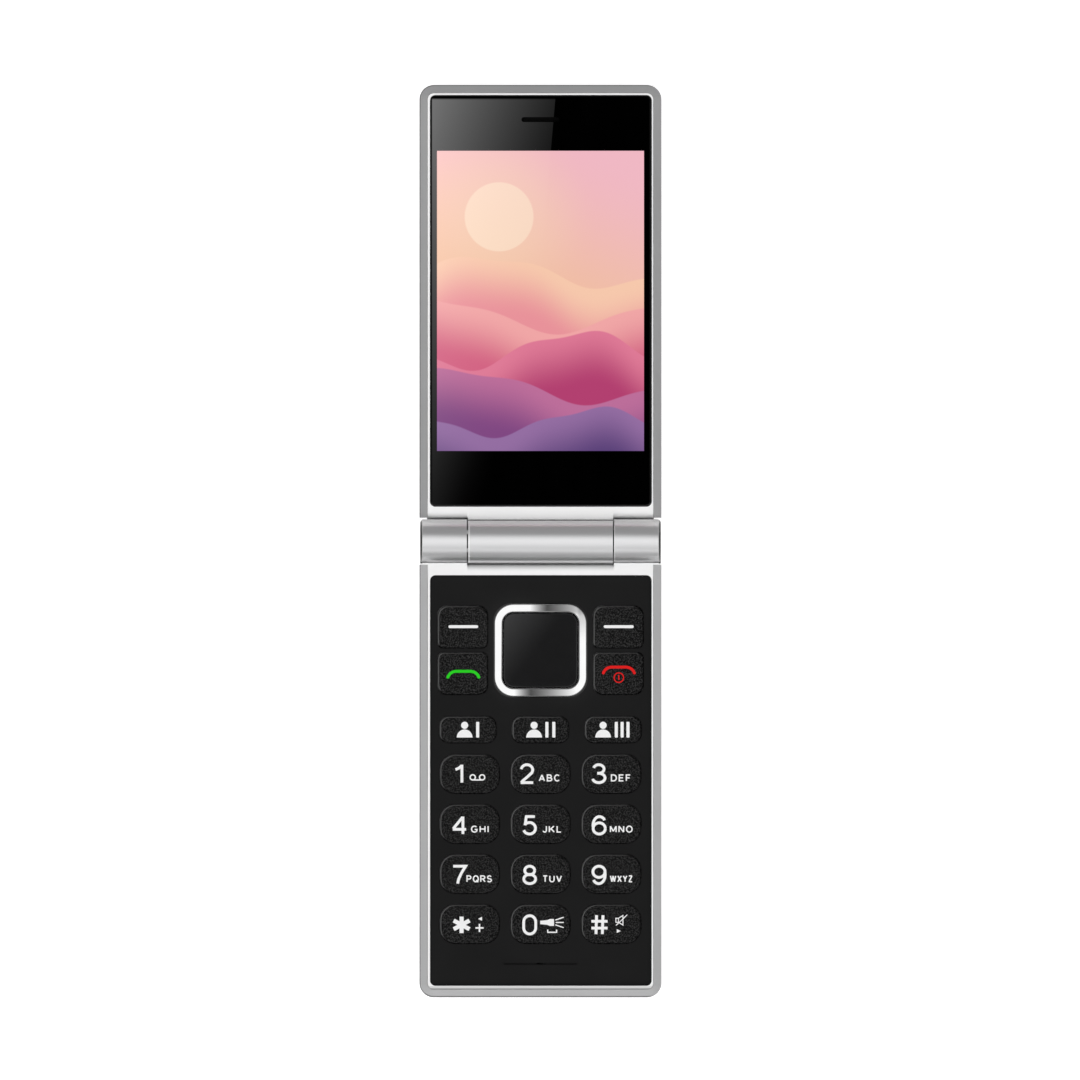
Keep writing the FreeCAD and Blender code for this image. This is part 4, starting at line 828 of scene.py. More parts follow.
@dataclass(frozen=True)
class CableFilm(Finish):
    """Amber film with copper conductors along its run, which follows X between the neck's ends."""

    neck: Point = (9.41, 21.6)
    pitch: float = 0.5
    conductor: Point = (0.1, 0.5)
    amber: Colour = shown(150, 84, 28)
    copper: Colour = shown(196, 122, 60)
    metal: float = 0.4
    roughness: float = 0.4
    smoother: float = 0.1

    def paint(self, graph: Graph) -> Sockets:
        """Conductors from the sine of X, and of Y in the neck.

        Args:
            graph: the material's graph.

        Returns:
            What feeds the shader's sockets.
        """
        across, along, _ = graph.place()
        lane = across + (along - across) * across.within(*self.neck, soft=0.01)
        line = (lane * (FULL_TURN / self.pitch)).sine().rise(*self.conductor)
        return {"Base Color": graph.blend(line, self.amber, self.copper),
                "Metallic": line * self.metal,
                "Roughness": self.roughness - line * self.smoother}


@dataclass(frozen=True)
class BatteryWrap(Finish):
    """Dark battery label with a pale band, and gold contacts in the end face."""

    band: Point = (-52.0, -48.0)
    contact_end: float = -40.1
    contact_half: float = 0.85
    contact_pitch: float = 3.0
    contact_foot: float = 2.25
    contact_rise: float = 0.1
    label: Colour = shown(52, 54, 58)
    pale: Colour = shown(176, 178, 182)
    gold: Colour = shown(216, 176, 96)
    film: float = 0.5
    octaves: float = 3.0
    roughness: float = 0.425
    swing: float = 0.15
    depth: float = 0.008

    def paint(self, graph: Graph) -> Sockets:
        """Band along Y, and three contacts across X at the end.

        Args:
            graph: the material's graph.

        Returns:
            What feeds the shader's sockets.
        """
        across, along, up = graph.place()
        side = abs(across)
        stripes = side.under(self.contact_half, soft=0.05)
        stripes = stripes.most(abs(side - self.contact_pitch).under(self.contact_half, soft=0.05))
        contact = stripes * along.rise(self.contact_end, self.contact_end + self.contact_rise)
        contact = contact * up.under(self.contact_foot, soft=-0.05)
        film = graph.noise(self.film, self.octaves)
        label = graph.blend(along.within(*self.band, soft=0.1), self.label, self.pale)
        return {"Base Color": graph.blend(contact, label, self.gold),
                "Metallic": contact,
                "Roughness": film.around(self.roughness, self.swing),
                "Normal": graph.bump(film, self.depth)}


@dataclass(frozen=True)
class RingedGlass(Finish):
    """Round window with black ink outside a clear middle, about an axis along Z."""

    centre: Point = (0.0, 0.0)
    clear: float = 2.3
    ink: float = 0.004
    smear: float = 0.05
    smear_cell: float = 2.0
    refraction: float = 1.5

    def paint(self, graph: Graph) -> Sockets:
        """Ink by radius.

        Args:
            graph: the material's graph.

        Returns:
            What feeds the shader's sockets.
        """
        ink = graph.radius(self.centre).under(self.clear, soft=-0.02)
        return {"Base Color": graph.blend(ink, grey(1.0), grey(self.ink)),
                "Roughness": graph.noise(self.smear_cell) * self.smear,
                "IOR": self.refraction,
                "Transmission Weight": 1.0}


@dataclass(frozen=True)
class FrostedLens(Finish):
    """Milky torch lens with ring ridges, and the yellow light glimmering in its middle."""

    centre: Point = (0.0, 0.0)
    core: float = 0.9
    core_soft: float = 0.4
    ridge: float = 0.42
    depth: float = 0.05
    milk: float = 0.66
    glimmer: Colour = shown(236, 204, 92)
    roughness: float = 0.2
    swing: float = 0.05

    def paint(self, graph: Graph) -> Sockets:
        """Ridges and colour by radius about the lens's axis.

        Args:
            graph: the material's graph.

        Returns:
            What feeds the shader's sockets.
        """
        reach = graph.radius(self.centre)
        ring = (reach * (FULL_TURN / self.ridge)).sine()
        core = reach.under(self.core, self.core_soft)
        return {"Base Color": graph.blend(core, grey(self.milk), self.glimmer),
                "Roughness": ring * self.swing + self.roughness,
                "Normal": graph.bump(ring, self.depth)}


@dataclass(frozen=True)
class CameraEye(Finish):
    """Camera module: black barrel with stepped rings and a dark coated lens in the middle."""

    centre: Point = (0.0, 0.0)
    lens: float = 1.15
    step: float = 0.4
    step_edge: Point = (-0.2, 0.6)
    coating: Point = (0.2, 1.0)
    violet: Colour = shown(58, 44, 92)
    blue: Colour = shown(16, 22, 44)
    groove: float = 0.006
    crest: float = 0.03
    lens_soft: float = 0.05
    roughness: float = 0.45
    smoother: float = 0.38
    depth: float = 0.04

    def paint(self, graph: Graph) -> Sockets:
        """Rings by radius about the camera's axis.

        Args:
            graph: the material's graph.

        Returns:
            What feeds the shader's sockets.
        """
        reach = graph.radius(self.centre)
        ring = (reach * (FULL_TURN / self.step)).sine().rise(*self.step_edge)
        ring = ring * reach.rise(self.lens, self.lens + self.lens_soft)
        lens = reach.rise(self.lens, self.lens - self.lens_soft)
        glass = graph.blend(reach.rise(*self.coating), self.violet, self.blue)
        body = graph.blend(ring, grey(self.groove), grey(self.crest))
        return {"Base Color": graph.blend(lens, body, glass),
                "Roughness": self.roughness - lens * self.smoother,
                "Normal": graph.bump(ring, self.depth)}


class Finishes:
    """The phone's finishes, by where they are used."""

    LID_SILVER = SilverPaint("lid_silver", tone=0.36)
    BASE_SILVER = SilverPaint("base_silver", tone=0.475)
    # The caps' painted shade line lies far below them, so they show none.
    CAP_SILVER = SilverPaint("cap_silver", tone=0.36, line=-99.0)
    PANEL = MouldedPlastic("panel_black", (0.0128, 0.0128, 0.013, 1.0), 0.36, 0.09, 0.002, 0.1)
    KEY = LeatherKey("key_leather")
    PAD = MottledCoat("middle_key_gloss", (0.008, 0.008, 0.0085, 1.0), 0.85, 3.0, 3.0, 0.12, 0.08, 0.5)
    CHROME = PolishedMetal("ring_chrome", foot=10.55)
    WHITE_INK = MottledCoat("legend_white", grey(0.93))
    GREEN_INK = MottledCoat("legend_green", shown(34, 214, 24))
    RED_INK = MottledCoat("legend_red", shown(228, 14, 12))
    BLACK = MouldedPlastic("inner_black", (0.018, 0.018, 0.019, 1.0), 0.5, 0.15, 0.006)
    RUBBER = MouldedPlastic("grey_rubber", (0.22, 0.22, 0.23, 1.0), 0.7, 0.2, 0.01, 0.3)
    PLUG = MouldedPlastic("plug_rubber", (0.30, 0.30, 0.31, 1.0), 0.65, 0.2, 0.01, 0.3)
    DOME = MouldedPlastic("domed_film", (0.62, 0.62, 0.60, 1.0), 0.3, 0.4, 0.004)
    STEEL = PolishedMetal("sheet_steel", (0.62, 0.62, 0.63, 1.0), 0.3, 0.4, (1.0, 16.0, 1.0), 0.004)
    # Hinge steel and brass have painted black shade where the knuckles part.
    HINGE = PolishedMetal("turned_steel", (0.5, 0.5, 0.52, 1.0), 0.24, 0.3, (5.0, 1.0, 1.0), 0.003,
                          gap=KNUCKLE_GAP)
    BRASS = PolishedMetal("turned_brass", (0.26, 0.21, 0.14, 1.0), 0.22, 0.3, (1.0, 10.0, 10.0), 0.003,
                          gap=KNUCKLE_GAP)
    MESH = WovenMesh("earpiece_weave")
    BOARD = CircuitBoard("green_board")
    CABLE = CableFilm("amber_cable")
    BATTERY = BatteryWrap("battery_label")
    TORCH = MouldedPlastic("torch_phosphor", (0.85, 0.72, 0.22, 1.0), 0.5, 0.3, 0.01)


# Surfaces


@dataclass
class Patch:
    """Part of a mesh: points in millimetres, and faces as rows of point numbers."""

    points: np.ndarray
    faces: List[Sequence[int]]


def outlines(half: Sequence[float], radii: Sequence[float], insets: Sequence[float],
             centre: Sequence[float] = (0.0, 0.0), steps: int = 8) -> np.ndarray:
    """Rectangles with round corners, one inside the other.

    Corner k of the outline inset by d is the arc c + r (cos t, sin t), with t from 90 (k - 1) to
    90 k degrees, r the corner's radius less d, and c the point r inside both sides.

    Args:
        half: half the width and half the height, in millimetres.
        radii: corner radii from lower right round to lower left, or one for all.
        insets: distance of each outline inside the first one; below 0 lies outside.
        centre: middle of the rectangle.
        steps: parts of each corner arc.

    Returns:
        Array of outline, point and coordinate, each outline counter-clockwise.
    """
    inset = np.asarray(insets, float)[:, None]
    radius = np.maximum(np.broadcast_to(np.asarray(radii, float), 4)[None, :] - inset, LEAST_RADIUS)
    sign = np.array([[1, -1], [1, 1], [-1, 1], [-1, -1]], float)
    middle = sign[None] * (np.asarray(half)[None, None] - inset[..., None] - radius[..., None])
    turn = np.radians(90.0 * np.arange(4)[:, None] - 90.0 + np.linspace(0.0, 90.0, steps + 1)[None])
    ray = np.stack([np.cos(turn), np.sin(turn)], axis=-1)
    arcs = middle[:, :, None] + radius[:, :, None, None] * ray[None]
    return arcs.reshape(len(inset), -1, 2) + np.asarray(centre)


def swept(half: Sequence[float], radii: Sequence[float], section: np.ndarray, centre: Sequence[float],
          steps: int = 8) -> np.ndarray:
    """Section carried round a rectangle with round corners.

    Args:
        half, radii, centre, steps: the rectangle, as for its outlines.
        section: rows of inset and level in millimetres.

    Returns:
        Array of ring, point and X, Y, Z, with one ring for each row.
    """
    flat = outlines(half, radii, section[:, 0], centre, steps)
    height = np.broadcast_to(section[:, 1, None, None], flat.shape[:2] + (1,))
    return np.concatenate([flat, height], axis=-1)


def grid(rings: np.ndarray, wrapped: bool = False) -> Patch:
    """Faces between neighbouring rings of points.

    Face (i, j) joins points j and j + 1 of ring i to the same points of ring i + 1; each ring closes
    on itself, and with wrapped the last ring joins the first.

    Args:
        rings: array of ring, point and X, Y, Z in millimetres.
        wrapped: True for a closed loop of rings.

    Returns:
        The rings as one patch, outward when the rings run counter-clockwise and upwards.
    """
    index = np.arange(rings.shape[0] * rings.shape[1]).reshape(rings.shape[:2])
    low = index if wrapped else index[:-1]
    high = np.roll(index, -1, axis=0) if wrapped else index[1:]
    quads = np.stack([low, np.roll(low, -1, axis=1), np.roll(high, -1, axis=1), high], axis=-1)
    return Patch(rings.reshape(-1, 3), quads.reshape(-1, 4).tolist())


def poled(rings: np.ndarray, low: float, high: float) -> np.ndarray:
    """Rings with poles before and behind: the end rings drawn together at their means, at two levels.

    Args:
        rings: array of ring, point and X, Y, Z in millimetres.
        low, high: levels of the two poles.

    Returns:
        The rings with both poles.
    """
    foot, head = (np.broadcast_to([*ring[:, :2].mean(axis=0), level], ring.shape)
                  for ring, level in ((rings[0], low), (rings[-1], high)))
    return np.concatenate([foot[None], rings, head[None]])


def quarter_round(edge: float, top: float, steps: int = 5) -> np.ndarray:
    """Rounded edge as rows of inset and level: (r - r cos t, top - r + r sin t), t from 0 to 90 degrees."""
    turn = np.radians(np.linspace(0.0, 90.0, steps + 1))
    return np.stack([edge - edge * np.cos(turn), top - edge + edge * np.sin(turn)], axis=-1)


def edged(base: Sequence[Point], edge: float, top: float) -> np.ndarray:
    """Section of a plate as rows of inset and level: its base, a rounded edge, and a strip of its top."""
    return np.concatenate([base, quarter_round(edge, top), [[edge + EDGE_STRIP, top]]])


def strip(path: np.ndarray, across: Sequence[float], half: float, thick: float) -> Patch:
    """Flat strip carried along a path.

    At the point p its section has the corners p + a half across + b (thick / 2) n, with a and b
    each -1 or 1 and n the unit normal of the path's run and of across.

    Args:
        path: array of point and X, Y, Z in millimetres.
        across: unit direction of the strip's width.
        half: half its width.
        thick: its thickness.

    Returns:
        The strip with both ends closed.
    """
    side = np.asarray(across, float) * half
    normal = np.cross(np.gradient(path, axis=0), side)
    normal = normal / np.linalg.norm(normal, axis=1, keepdims=True) * (thick / 2.0)
    body = grid(np.stack([path - side - normal, path + side - normal,
                          path + side + normal, path - side + normal], axis=1))
    last = len(body.points) - 1
    return Patch(body.points, body.faces + [[3, 2, 1, 0], [last - 3, last - 2, last - 1, last]])


def joined(patches: Sequence[Patch]) -> Patch:
    """Several patches as one.

    Args:
        patches: the patches.

    Returns:
        One patch with all their faces.
    """
    starts = np.cumsum([0] + [len(patch.points) for patch in patches])
    faces = [[int(start + corner) for corner in face]
             for start, patch in zip(starts, patches) for face in patch.faces]
    return Patch(np.concatenate([patch.points for patch in patches]), faces)


def welded(patch: Patch) -> Patch:
    """The patch with points merged that round to the same place, and faces without area left out.

    Args:
        patch: the patch.

    Returns:
        The merged patch.
    """
    tight = np.round(patch.points, WELD_DIGITS)
    _, first, place = np.unique(tight, axis=0, return_index=True, return_inverse=True)
    place = place.reshape(-1)
    faces = [list(dict.fromkeys(place[list(face)].tolist())) for face in patch.faces]
    return Patch(patch.points[first], [face for face in faces if len(face) > 2])


class Sharpness(Enum):
    """Angle in degrees above which an edge shows as a crease."""

    SOFT = 34.0
    CRISP = 22.0
    FLAT = 1.0


def make_piece(name: str, patch: Patch, finish: Finish, sharpness: Sharpness = Sharpness.SOFT) -> Piece:
    """Makes a mesh object from a patch.

    Args:
        name: the object's name.
        patch: points in millimetres and faces.
        finish: its finish.
        sharpness: which edges show as creases.

    Returns:
        The object, at the origin.
    """
    tight = welded(patch)
    mesh = bpy.data.meshes.new(name)
    mesh.from_pydata((tight.points * MM).tolist(), [], tight.faces)
    mesh.polygons.foreach_set("use_smooth", np.ones(len(mesh.polygons), dtype=bool))
    mesh.set_sharp_from_angle(angle=math.radians(sharpness.value))
    mesh.materials.append(finish.material())
    piece = bpy.data.objects.new(name, mesh)
    bpy.context.scene.collection.objects.link(piece)
    return piece


def mark_edges(piece: Piece, side: Point) -> None:
    """Marks how far each point of a piece faces one side, as a named point value for the key's painted
    highlight.

    The value at a point with the normal n is max(0, n . side), and 0 where n doesn't point up.

    Args:
        piece: the piece to mark.
        side: X and Y of the direction that the painted highlight favours.
    """
    mesh = piece.data
    normals = np.empty(len(mesh.vertices) * 3)
    mesh.vertices.foreach_get("normal", normals)
    normals = normals.reshape(-1, 3)
    value = np.where(normals[:, 2] < LEAST_UP, 0.0, np.maximum(normals[:, :2] @ np.asarray(side), 0.0))
    mesh.attributes.new("edge_highlight", "FLOAT", "POINT").data.foreach_set("value", value)


def settle(piece: Piece, body: str, nodes: Sequence[str] = ()) -> Piece:
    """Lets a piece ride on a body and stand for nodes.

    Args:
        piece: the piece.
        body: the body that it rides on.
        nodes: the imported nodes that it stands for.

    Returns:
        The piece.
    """
    if nodes:
        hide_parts(*nodes)
    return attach(piece, body)


def smooth_copy(node: str, finish: Finish, slot: Slot, sharpness: Sharpness = Sharpness.SOFT) -> Piece:
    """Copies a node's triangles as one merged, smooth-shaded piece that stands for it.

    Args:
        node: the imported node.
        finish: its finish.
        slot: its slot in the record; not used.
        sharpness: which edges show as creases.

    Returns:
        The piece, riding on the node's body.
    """
    source = frame["nodes"][node].data
    points = np.empty(len(source.vertices) * 3)
    source.vertices.foreach_get("co", points)
    corners = np.empty(len(source.loops), dtype=int)
    source.loops.foreach_get("vertex_index", corners)
    patch = Patch(points.reshape(-1, 3) / MM, corners.reshape(-1, 3).tolist())
    piece = make_piece("smooth_" + node, patch, finish, sharpness)
    piece.modifiers.new("even_shading", "WEIGHTED_NORMAL").keep_sharp = True
    return settle(piece, NODE_BODY[node], [node])


def dress(node: str, finish: Finish) -> Piece:
    """Gives a node that stays in sight its finish.

    Args:
        node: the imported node.
        finish: the finish for all its slots.

    Returns:
        The node's object.
    """
    for place in frame["nodes"][node].material_slots:
        place.material = finish.material()
    return frame["nodes"][node]


def plan_of(node: str) -> Tuple[np.ndarray, np.ndarray, np.ndarray, np.ndarray]:
    """Lowest and highest corner of a node in millimetres, and half its size and its middle in plan."""
    low, high = (np.array(corner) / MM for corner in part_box(node))
    return low, high, (high - low)[:2] / 2, (high + low)[:2] / 2


# Key legends


@dataclass(frozen=True)
class Arc:
    """Part of an ellipse in a letter's unit box."""

    x: float
    y: float
    wide: float
    tall: float
    start: float = 0.0
    stop: float = 360.0
    step: float = 12.0

    def points(self) -> np.ndarray:
        """Points centre + (wide cos t, tall sin t), t from start to stop.

        Returns:
            Array of point and coordinate.
        """
        count = max(int(abs(self.stop - self.start) / self.step), 2) + 1
        turn = np.radians(np.linspace(self.start, self.stop, count))
        return np.stack([self.x + self.wide * np.cos(turn), self.y + self.tall * np.sin(turn)], axis=-1)


Path = Tuple[Union[Point, Arc], ...]


@dataclass(frozen=True)
class Glyph:
    """One letter or digit: its width in capital heights and the strokes in its unit box."""

    width: float
    paths: Tuple[Path, ...]


GLYPHS: Dict[str, Glyph] = {
    "0": Glyph(0.7, ((Arc(0.5, 0.66, 0.5, 0.34, 0, 180), Arc(0.5, 0.34, 0.5, 0.34, 180, 360), (1, 0.66)),)),
    "1": Glyph(0.4, (((1, 0), (1, 1)), ((0.95, 0.94), (0.5, 0.8), (0, 0.73)))),
    "2": Glyph(0.7, ((Arc(0.5, 0.71, 0.46, 0.29, 172, -36), (0.52, 0.31), (0.16, 0.1), (0.04, 0)),
                     ((0, 0), (1, 0)))),
    "3": Glyph(0.7, ((Arc(0.47, 0.76, 0.42, 0.24, 165, -90), (0.34, 0.52)),
                     ((0.34, 0.52), Arc(0.47, 0.26, 0.5, 0.26, 90, -168)))),
    "4": Glyph(0.7, (((0.76, 0), (0.76, 1)), ((0.74, 0.97), (0.03, 0.3)), ((0, 0.27), (1, 0.27)))),
    "5": Glyph(0.7, (((0.93, 1), (0.22, 1), (0.11, 0.5)), (Arc(0.48, 0.33, 0.5, 0.33, 140, -160),))),
    "6": Glyph(0.7, ((Arc(0.52, 0.72, 0.42, 0.28, 14, 90), Arc(0.52, 0.5, 0.5, 0.5, 90, 200)),
                     (Arc(0.51, 0.32, 0.48, 0.32),))),
    "7": Glyph(0.7, (((0, 1), (1, 1), (0.66, 0.6), (0.44, 0.26), (0.36, 0)),)),
    "8": Glyph(0.7, ((Arc(0.5, 0.755, 0.41, 0.245),), (Arc(0.5, 0.265, 0.49, 0.265),))),
    "9": Glyph(0.7, ((Arc(0.48, 0.28, 0.42, 0.28, 194, 270), Arc(0.48, 0.5, 0.5, 0.5, 270, 380)),
                     (Arc(0.49, 0.68, 0.48, 0.32),))),
    "A": Glyph(0.72, (((0, 0), (0.5, 1)), ((0.5, 1), (1, 0)), ((0.2, 0.3), (0.8, 0.3)))),
    "B": Glyph(0.62, (((0, 0.52), (0, 1), (0.5, 1), Arc(0.5, 0.76, 0.38, 0.24, 90, -90), (0, 0.52)),
                      ((0, 0.52), (0, 0), (0.5, 0), Arc(0.5, 0.26, 0.5, 0.26, -90, 90), (0, 0.52)))),
    "C": Glyph(0.7, ((Arc(0.52, 0.5, 0.52, 0.5, 44, 316),),)),
    "D": Glyph(0.66, (((0, 0.5), (0, 1), (0.44, 1), Arc(0.44, 0.5, 0.56, 0.5, 90, -90), (0, 0), (0, 0.5)),)),
    "E": Glyph(0.56, (((1, 1), (0, 1), (0, 0), (1, 0)), ((0, 0.52), (0.9, 0.52)))),
    "F": Glyph(0.52, (((1, 1), (0, 1), (0, 0)), ((0, 0.5), (0.85, 0.5)))),
    "G": Glyph(0.74, ((Arc(0.52, 0.5, 0.52, 0.5, 46, 322), (0.96, 0.44), (0.56, 0.44)),)),
    "H": Glyph(0.64, (((0, 0), (0, 1)), ((1, 0), (1, 1)), ((0, 0.52), (1, 0.52)))),
    "I": Glyph(0.02, (((0.5, 0), (0.5, 1)),)),
    "J": Glyph(0.44, (((1, 1), (1, 0.3), Arc(0.5, 0.3, 0.5, 0.3, 0, -165)),)),
    "K": Glyph(0.66, (((0, 0), (0, 1)), ((0.95, 1), (0, 0.34)), ((0.34, 0.58), (1, 0)))),
    "L": Glyph(0.52, (((0, 1), (0, 0), (1, 0)),)),
    "M": Glyph(0.78, (((0, 0), (0, 1)), ((0.02, 1), (0.5, 0.12)), ((0.5, 0.12), (0.98, 1)),
                      ((1, 1), (1, 0)))),
    "N": Glyph(0.64, (((0, 0), (0, 1)), ((0.02, 1), (0.98, 0)), ((1, 0), (1, 1)))),
    "O": Glyph(0.76, ((Arc(0.5, 0.5, 0.5, 0.5),),)),
    "P": Glyph(0.6, (((0, 0), (0, 1), (0.52, 1), Arc(0.52, 0.73, 0.48, 0.27, 90, -90), (0, 0.46)),)),
    "Q": Glyph(0.76, ((Arc(0.5, 0.5, 0.5, 0.5),), ((0.58, 0.28), (1, -0.06)))),
    "R": Glyph(0.66, (((0, 0), (0, 1), (0.5, 1), Arc(0.5, 0.74, 0.46, 0.26, 90, -90), (0, 0.48)),
                      ((0.5, 0.48), (1, 0)))),
    "S": Glyph(0.6, ((Arc(0.5, 0.75, 0.46, 0.25, 24, 270), Arc(0.5, 0.25, 0.5, 0.25, 90, -158)),)),
    "T": Glyph(0.6, (((0, 1), (1, 1)), ((0.5, 1), (0.5, 0)))),
    "U": Glyph(0.64, (((0, 1), (0, 0.36), Arc(0.5, 0.36, 0.5, 0.36, 180, 360), (1, 1)),)),
    "V": Glyph(0.68, (((0, 1), (0.5, 0)), ((0.5, 0), (1, 1)))),
    "W": Glyph(1, (((0, 1), (0.27, 0)), ((0.27, 0), (0.5, 1)), ((0.5, 1), (0.73, 0)), ((0.73, 0), (1, 1)))),
    "X": Glyph(0.66, (((0, 1), (1, 0)), ((0, 0), (1, 1)))),
    "Y": Glyph(0.66, (((0, 1), (0.5, 0.46), (1, 1)), ((0.5, 0.5), (0.5, 0)))),
    "Z": Glyph(0.6, (((0, 1), (1, 1)), ((0.97, 1), (0.03, 0)), ((0, 0), (1, 0)))),
}


def filled(flat: np.ndarray) -> List[Patch]:
    """One face at level 0 with the given X and Y of its corners."""
    return [Patch(np.pad(flat, ((0, 0), (0, 1))), [list(range(len(flat)))])]


@dataclass(frozen=True)
class Word:
    """Lettering drawn with strokes into a box on the key, in millimetres from the key's middle."""

    text: str
    left: float
    right: float
    low: float
    high: float
    weight: float = 0.62
    gap: float = 0.4

    def layers(self) -> List[Patch]:
        """Flat strokes of all letters.

        Letters stand side by side with a gap, and their row is scaled so that the strokes' outer
        edges reach the sides of the box.

        Returns:
            One patch for each stroke.
        """
        glyphs = [GLYPHS[letter] for letter in self.text]
        widths = np.array([glyph.width for glyph in glyphs])
        starts = np.concatenate([[0.0], np.cumsum(widths + self.gap)[:-1]])
        total = starts[-1] + widths[-1]
        base = np.array([self.left, self.low]) + self.weight / 2
        room = np.array([self.right - self.left, self.high - self.low]) - self.weight
        patches = []
        for glyph, start in zip(glyphs, starts):
            for path in glyph.paths:
                drawn = np.concatenate([step.points() if isinstance(step, Arc) else np.array([step])
                                        for step in path])
                drawn = drawn * [glyph.width / total, 1.0] + [start / total, 0.0]
                drawn = base + drawn * room
                keep = np.concatenate([[True], np.linalg.norm(np.diff(drawn, axis=0), axis=1) > LEAST_STEP])
                patches += square(self.weight, *map(tuple, drawn[keep])).layers()
        return patches


@dataclass(frozen=True)
class Stroke:
    """Line of even width through points, with round ends or not."""

    points: Tuple[Point, ...]
    width: float
    closed: bool = False
    round_ends: bool = True

    def layers(self) -> List[Patch]:
        """Ribbon at level 0.

        Each point moves out by half the width along the mean normal of its two runs, longer by the
        inverse cosine of half the turn, so that the ribbon keeps its width round the corner.

        Returns:
            The ribbon, with half a disc on each end where these are round.
        """
        path = np.array(self.points + self.points[:1] if self.closed else self.points, float)
        run = np.diff(path, axis=0)
        run = run / np.linalg.norm(run, axis=1, keepdims=True)
        before = np.concatenate([run[-1:] if self.closed else run[:1], run])
        after = np.concatenate([run, run[:1] if self.closed else run[-1:]])
        side = np.stack([-(before + after)[:, 1], (before + after)[:, 0]], axis=-1)
        side = side / np.linalg.norm(side, axis=1, keepdims=True)
        cosine = (side * np.stack([-after[:, 1], after[:, 0]], axis=-1)).sum(axis=1)
        cosine = np.clip(cosine, LEAST_COSINE, 1.0)
        offset = side * (self.width / 2.0 / cosine)[:, None]
        rails = np.pad(np.stack([path - offset, path + offset], axis=1), ((0, 0), (0, 0), (0, 1)))
        index = np.arange(len(path) * 2).reshape(-1, 2)
        quads = np.stack([index[:-1, 0], index[1:, 0], index[1:, 1], index[:-1, 1]], axis=-1)
        parts = [Patch(rails.reshape(-1, 3), quads.tolist())]
        if self.round_ends and not self.closed:
            heading = np.degrees(np.arctan2([-run[0, 1], run[-1, 1]], [-run[0, 0], run[-1, 0]]))
            for end, turn in zip((path[0], path[-1]), heading):
                parts += Disc(end[0], end[1], self.width / 2.0, None, turn - 90.0, turn + 90.0).layers()
        return [joined(parts)]


def square(width: float, *points: Point) -> Stroke:
    """Stroke with square ends."""
    return Stroke(points, width, round_ends=False)


@dataclass(frozen=True)
class Disc:
    """Filled ellipse or a sector of it."""

    x: float
    y: float
    radius: float
    height: Optional[float] = None
    start: float = 0.0
    stop: float = 360.0
    corners: int = 29

    def layers(self) -> List[Patch]:
        """Sector at level 0: centre + (a cos t, b sin t), t from start to stop.

        Returns:
            One patch.
        """
        turn = np.radians(np.linspace(self.start, self.stop, self.corners))
        tall = self.radius if self.height is None else self.height
        return filled(np.stack([self.x + self.radius * np.cos(turn), self.y + tall * np.sin(turn)], axis=-1))


@dataclass(frozen=True)
class Plate:
    """Filled shape with straight sides and no hollow corners."""

    points: Tuple[Point, ...]

    def layers(self) -> List[Patch]:
        """The shape at level 0, counter-clockwise."""
        return filled(np.array(self.points, float))


@dataclass(frozen=True)
class Bar:
    """Upright bar with softened corners."""

    x: float
    half: Point = (0.35, 1.76)
    corner: float = 0.18

    def layers(self) -> List[Patch]:
        """The bar at level 0."""
        return filled(outlines(self.half, [self.corner], [0.0], (self.x, 0.0), 3)[0])


Mark = Union[Word, Stroke, Disc, Plate, Bar]


def loop(x: float, y: float, radius: float, width: float) -> Stroke:
    """Ring drawn as a closed stroke."""
    points = Arc(x, y, radius, radius).points()[:-1]
    return Stroke(tuple(map(tuple, points.tolist())), width, True)


def person(x: float) -> Tuple[Mark, ...]:
    """Head and shoulders on a memory key."""
    return (Disc(x, 0.98, 0.80), Disc(x, -1.74, 1.76, 1.80, 0.0, 180.0))


def handset(lift: float) -> Stroke:
    """Arched handset of the call and end keys.

    Args:
        lift: height of its top above the key's middle.

    Returns:
        The stroke.
    """
    arch = ((-3.32, -1.30), (-3.08, -0.84), (-2.72, -0.44), (-2.24, -0.16), (-1.64, 0.0),
            (1.92, 0.0), (2.52, -0.16), (3.0, -0.44), (3.36, -0.84), (3.6, -1.30))
    return Stroke(tuple((x, lift + y) for x, y in arch), 0.64)


@dataclass(frozen=True)
class KeyCap:
    """One key: its node, its corner radii, and what is printed on it."""

    node: str
    radii: Tuple[float, ...]
    marks: Tuple[Mark, ...]
    ink: Finish = Finishes.WHITE_INK


NUMBER = (3.3,)
MEMORY = (2.0,)
UPPER = (1.3, 2.3, 2.3, 1.3)
LOWER = (2.3, 1.3, 1.3, 2.3)
DIGIT_ROWS = ((-2.23, 2.39), (-2.54, 1.97), (-2.45, 2.06))
LETTER_ROWS = ((-1.67, -0.06), (-1.94, -0.33), (-1.87, -0.26))
LETTER_WEIGHT = 0.29


def lettered(digit: str, ends: Point, letters: str, letter_ends: Point) -> KeyCap:
    """Number key with its digit and its letters between their ends in X, at its row's heights.

    Args:
        digit: the key's digit.
        ends: the digit's left and right end, from the key's middle.
        letters: the key's letters.
        letter_ends: their left and right end.

    Returns:
        The key.
    """
    row = (int(digit) - 1) // 3
    return KeyCap("key_" + digit, NUMBER, (Word(digit, *ends, *DIGIT_ROWS[row]),
                                           Word(letters, *letter_ends, *LETTER_ROWS[row], LETTER_WEIGHT)))


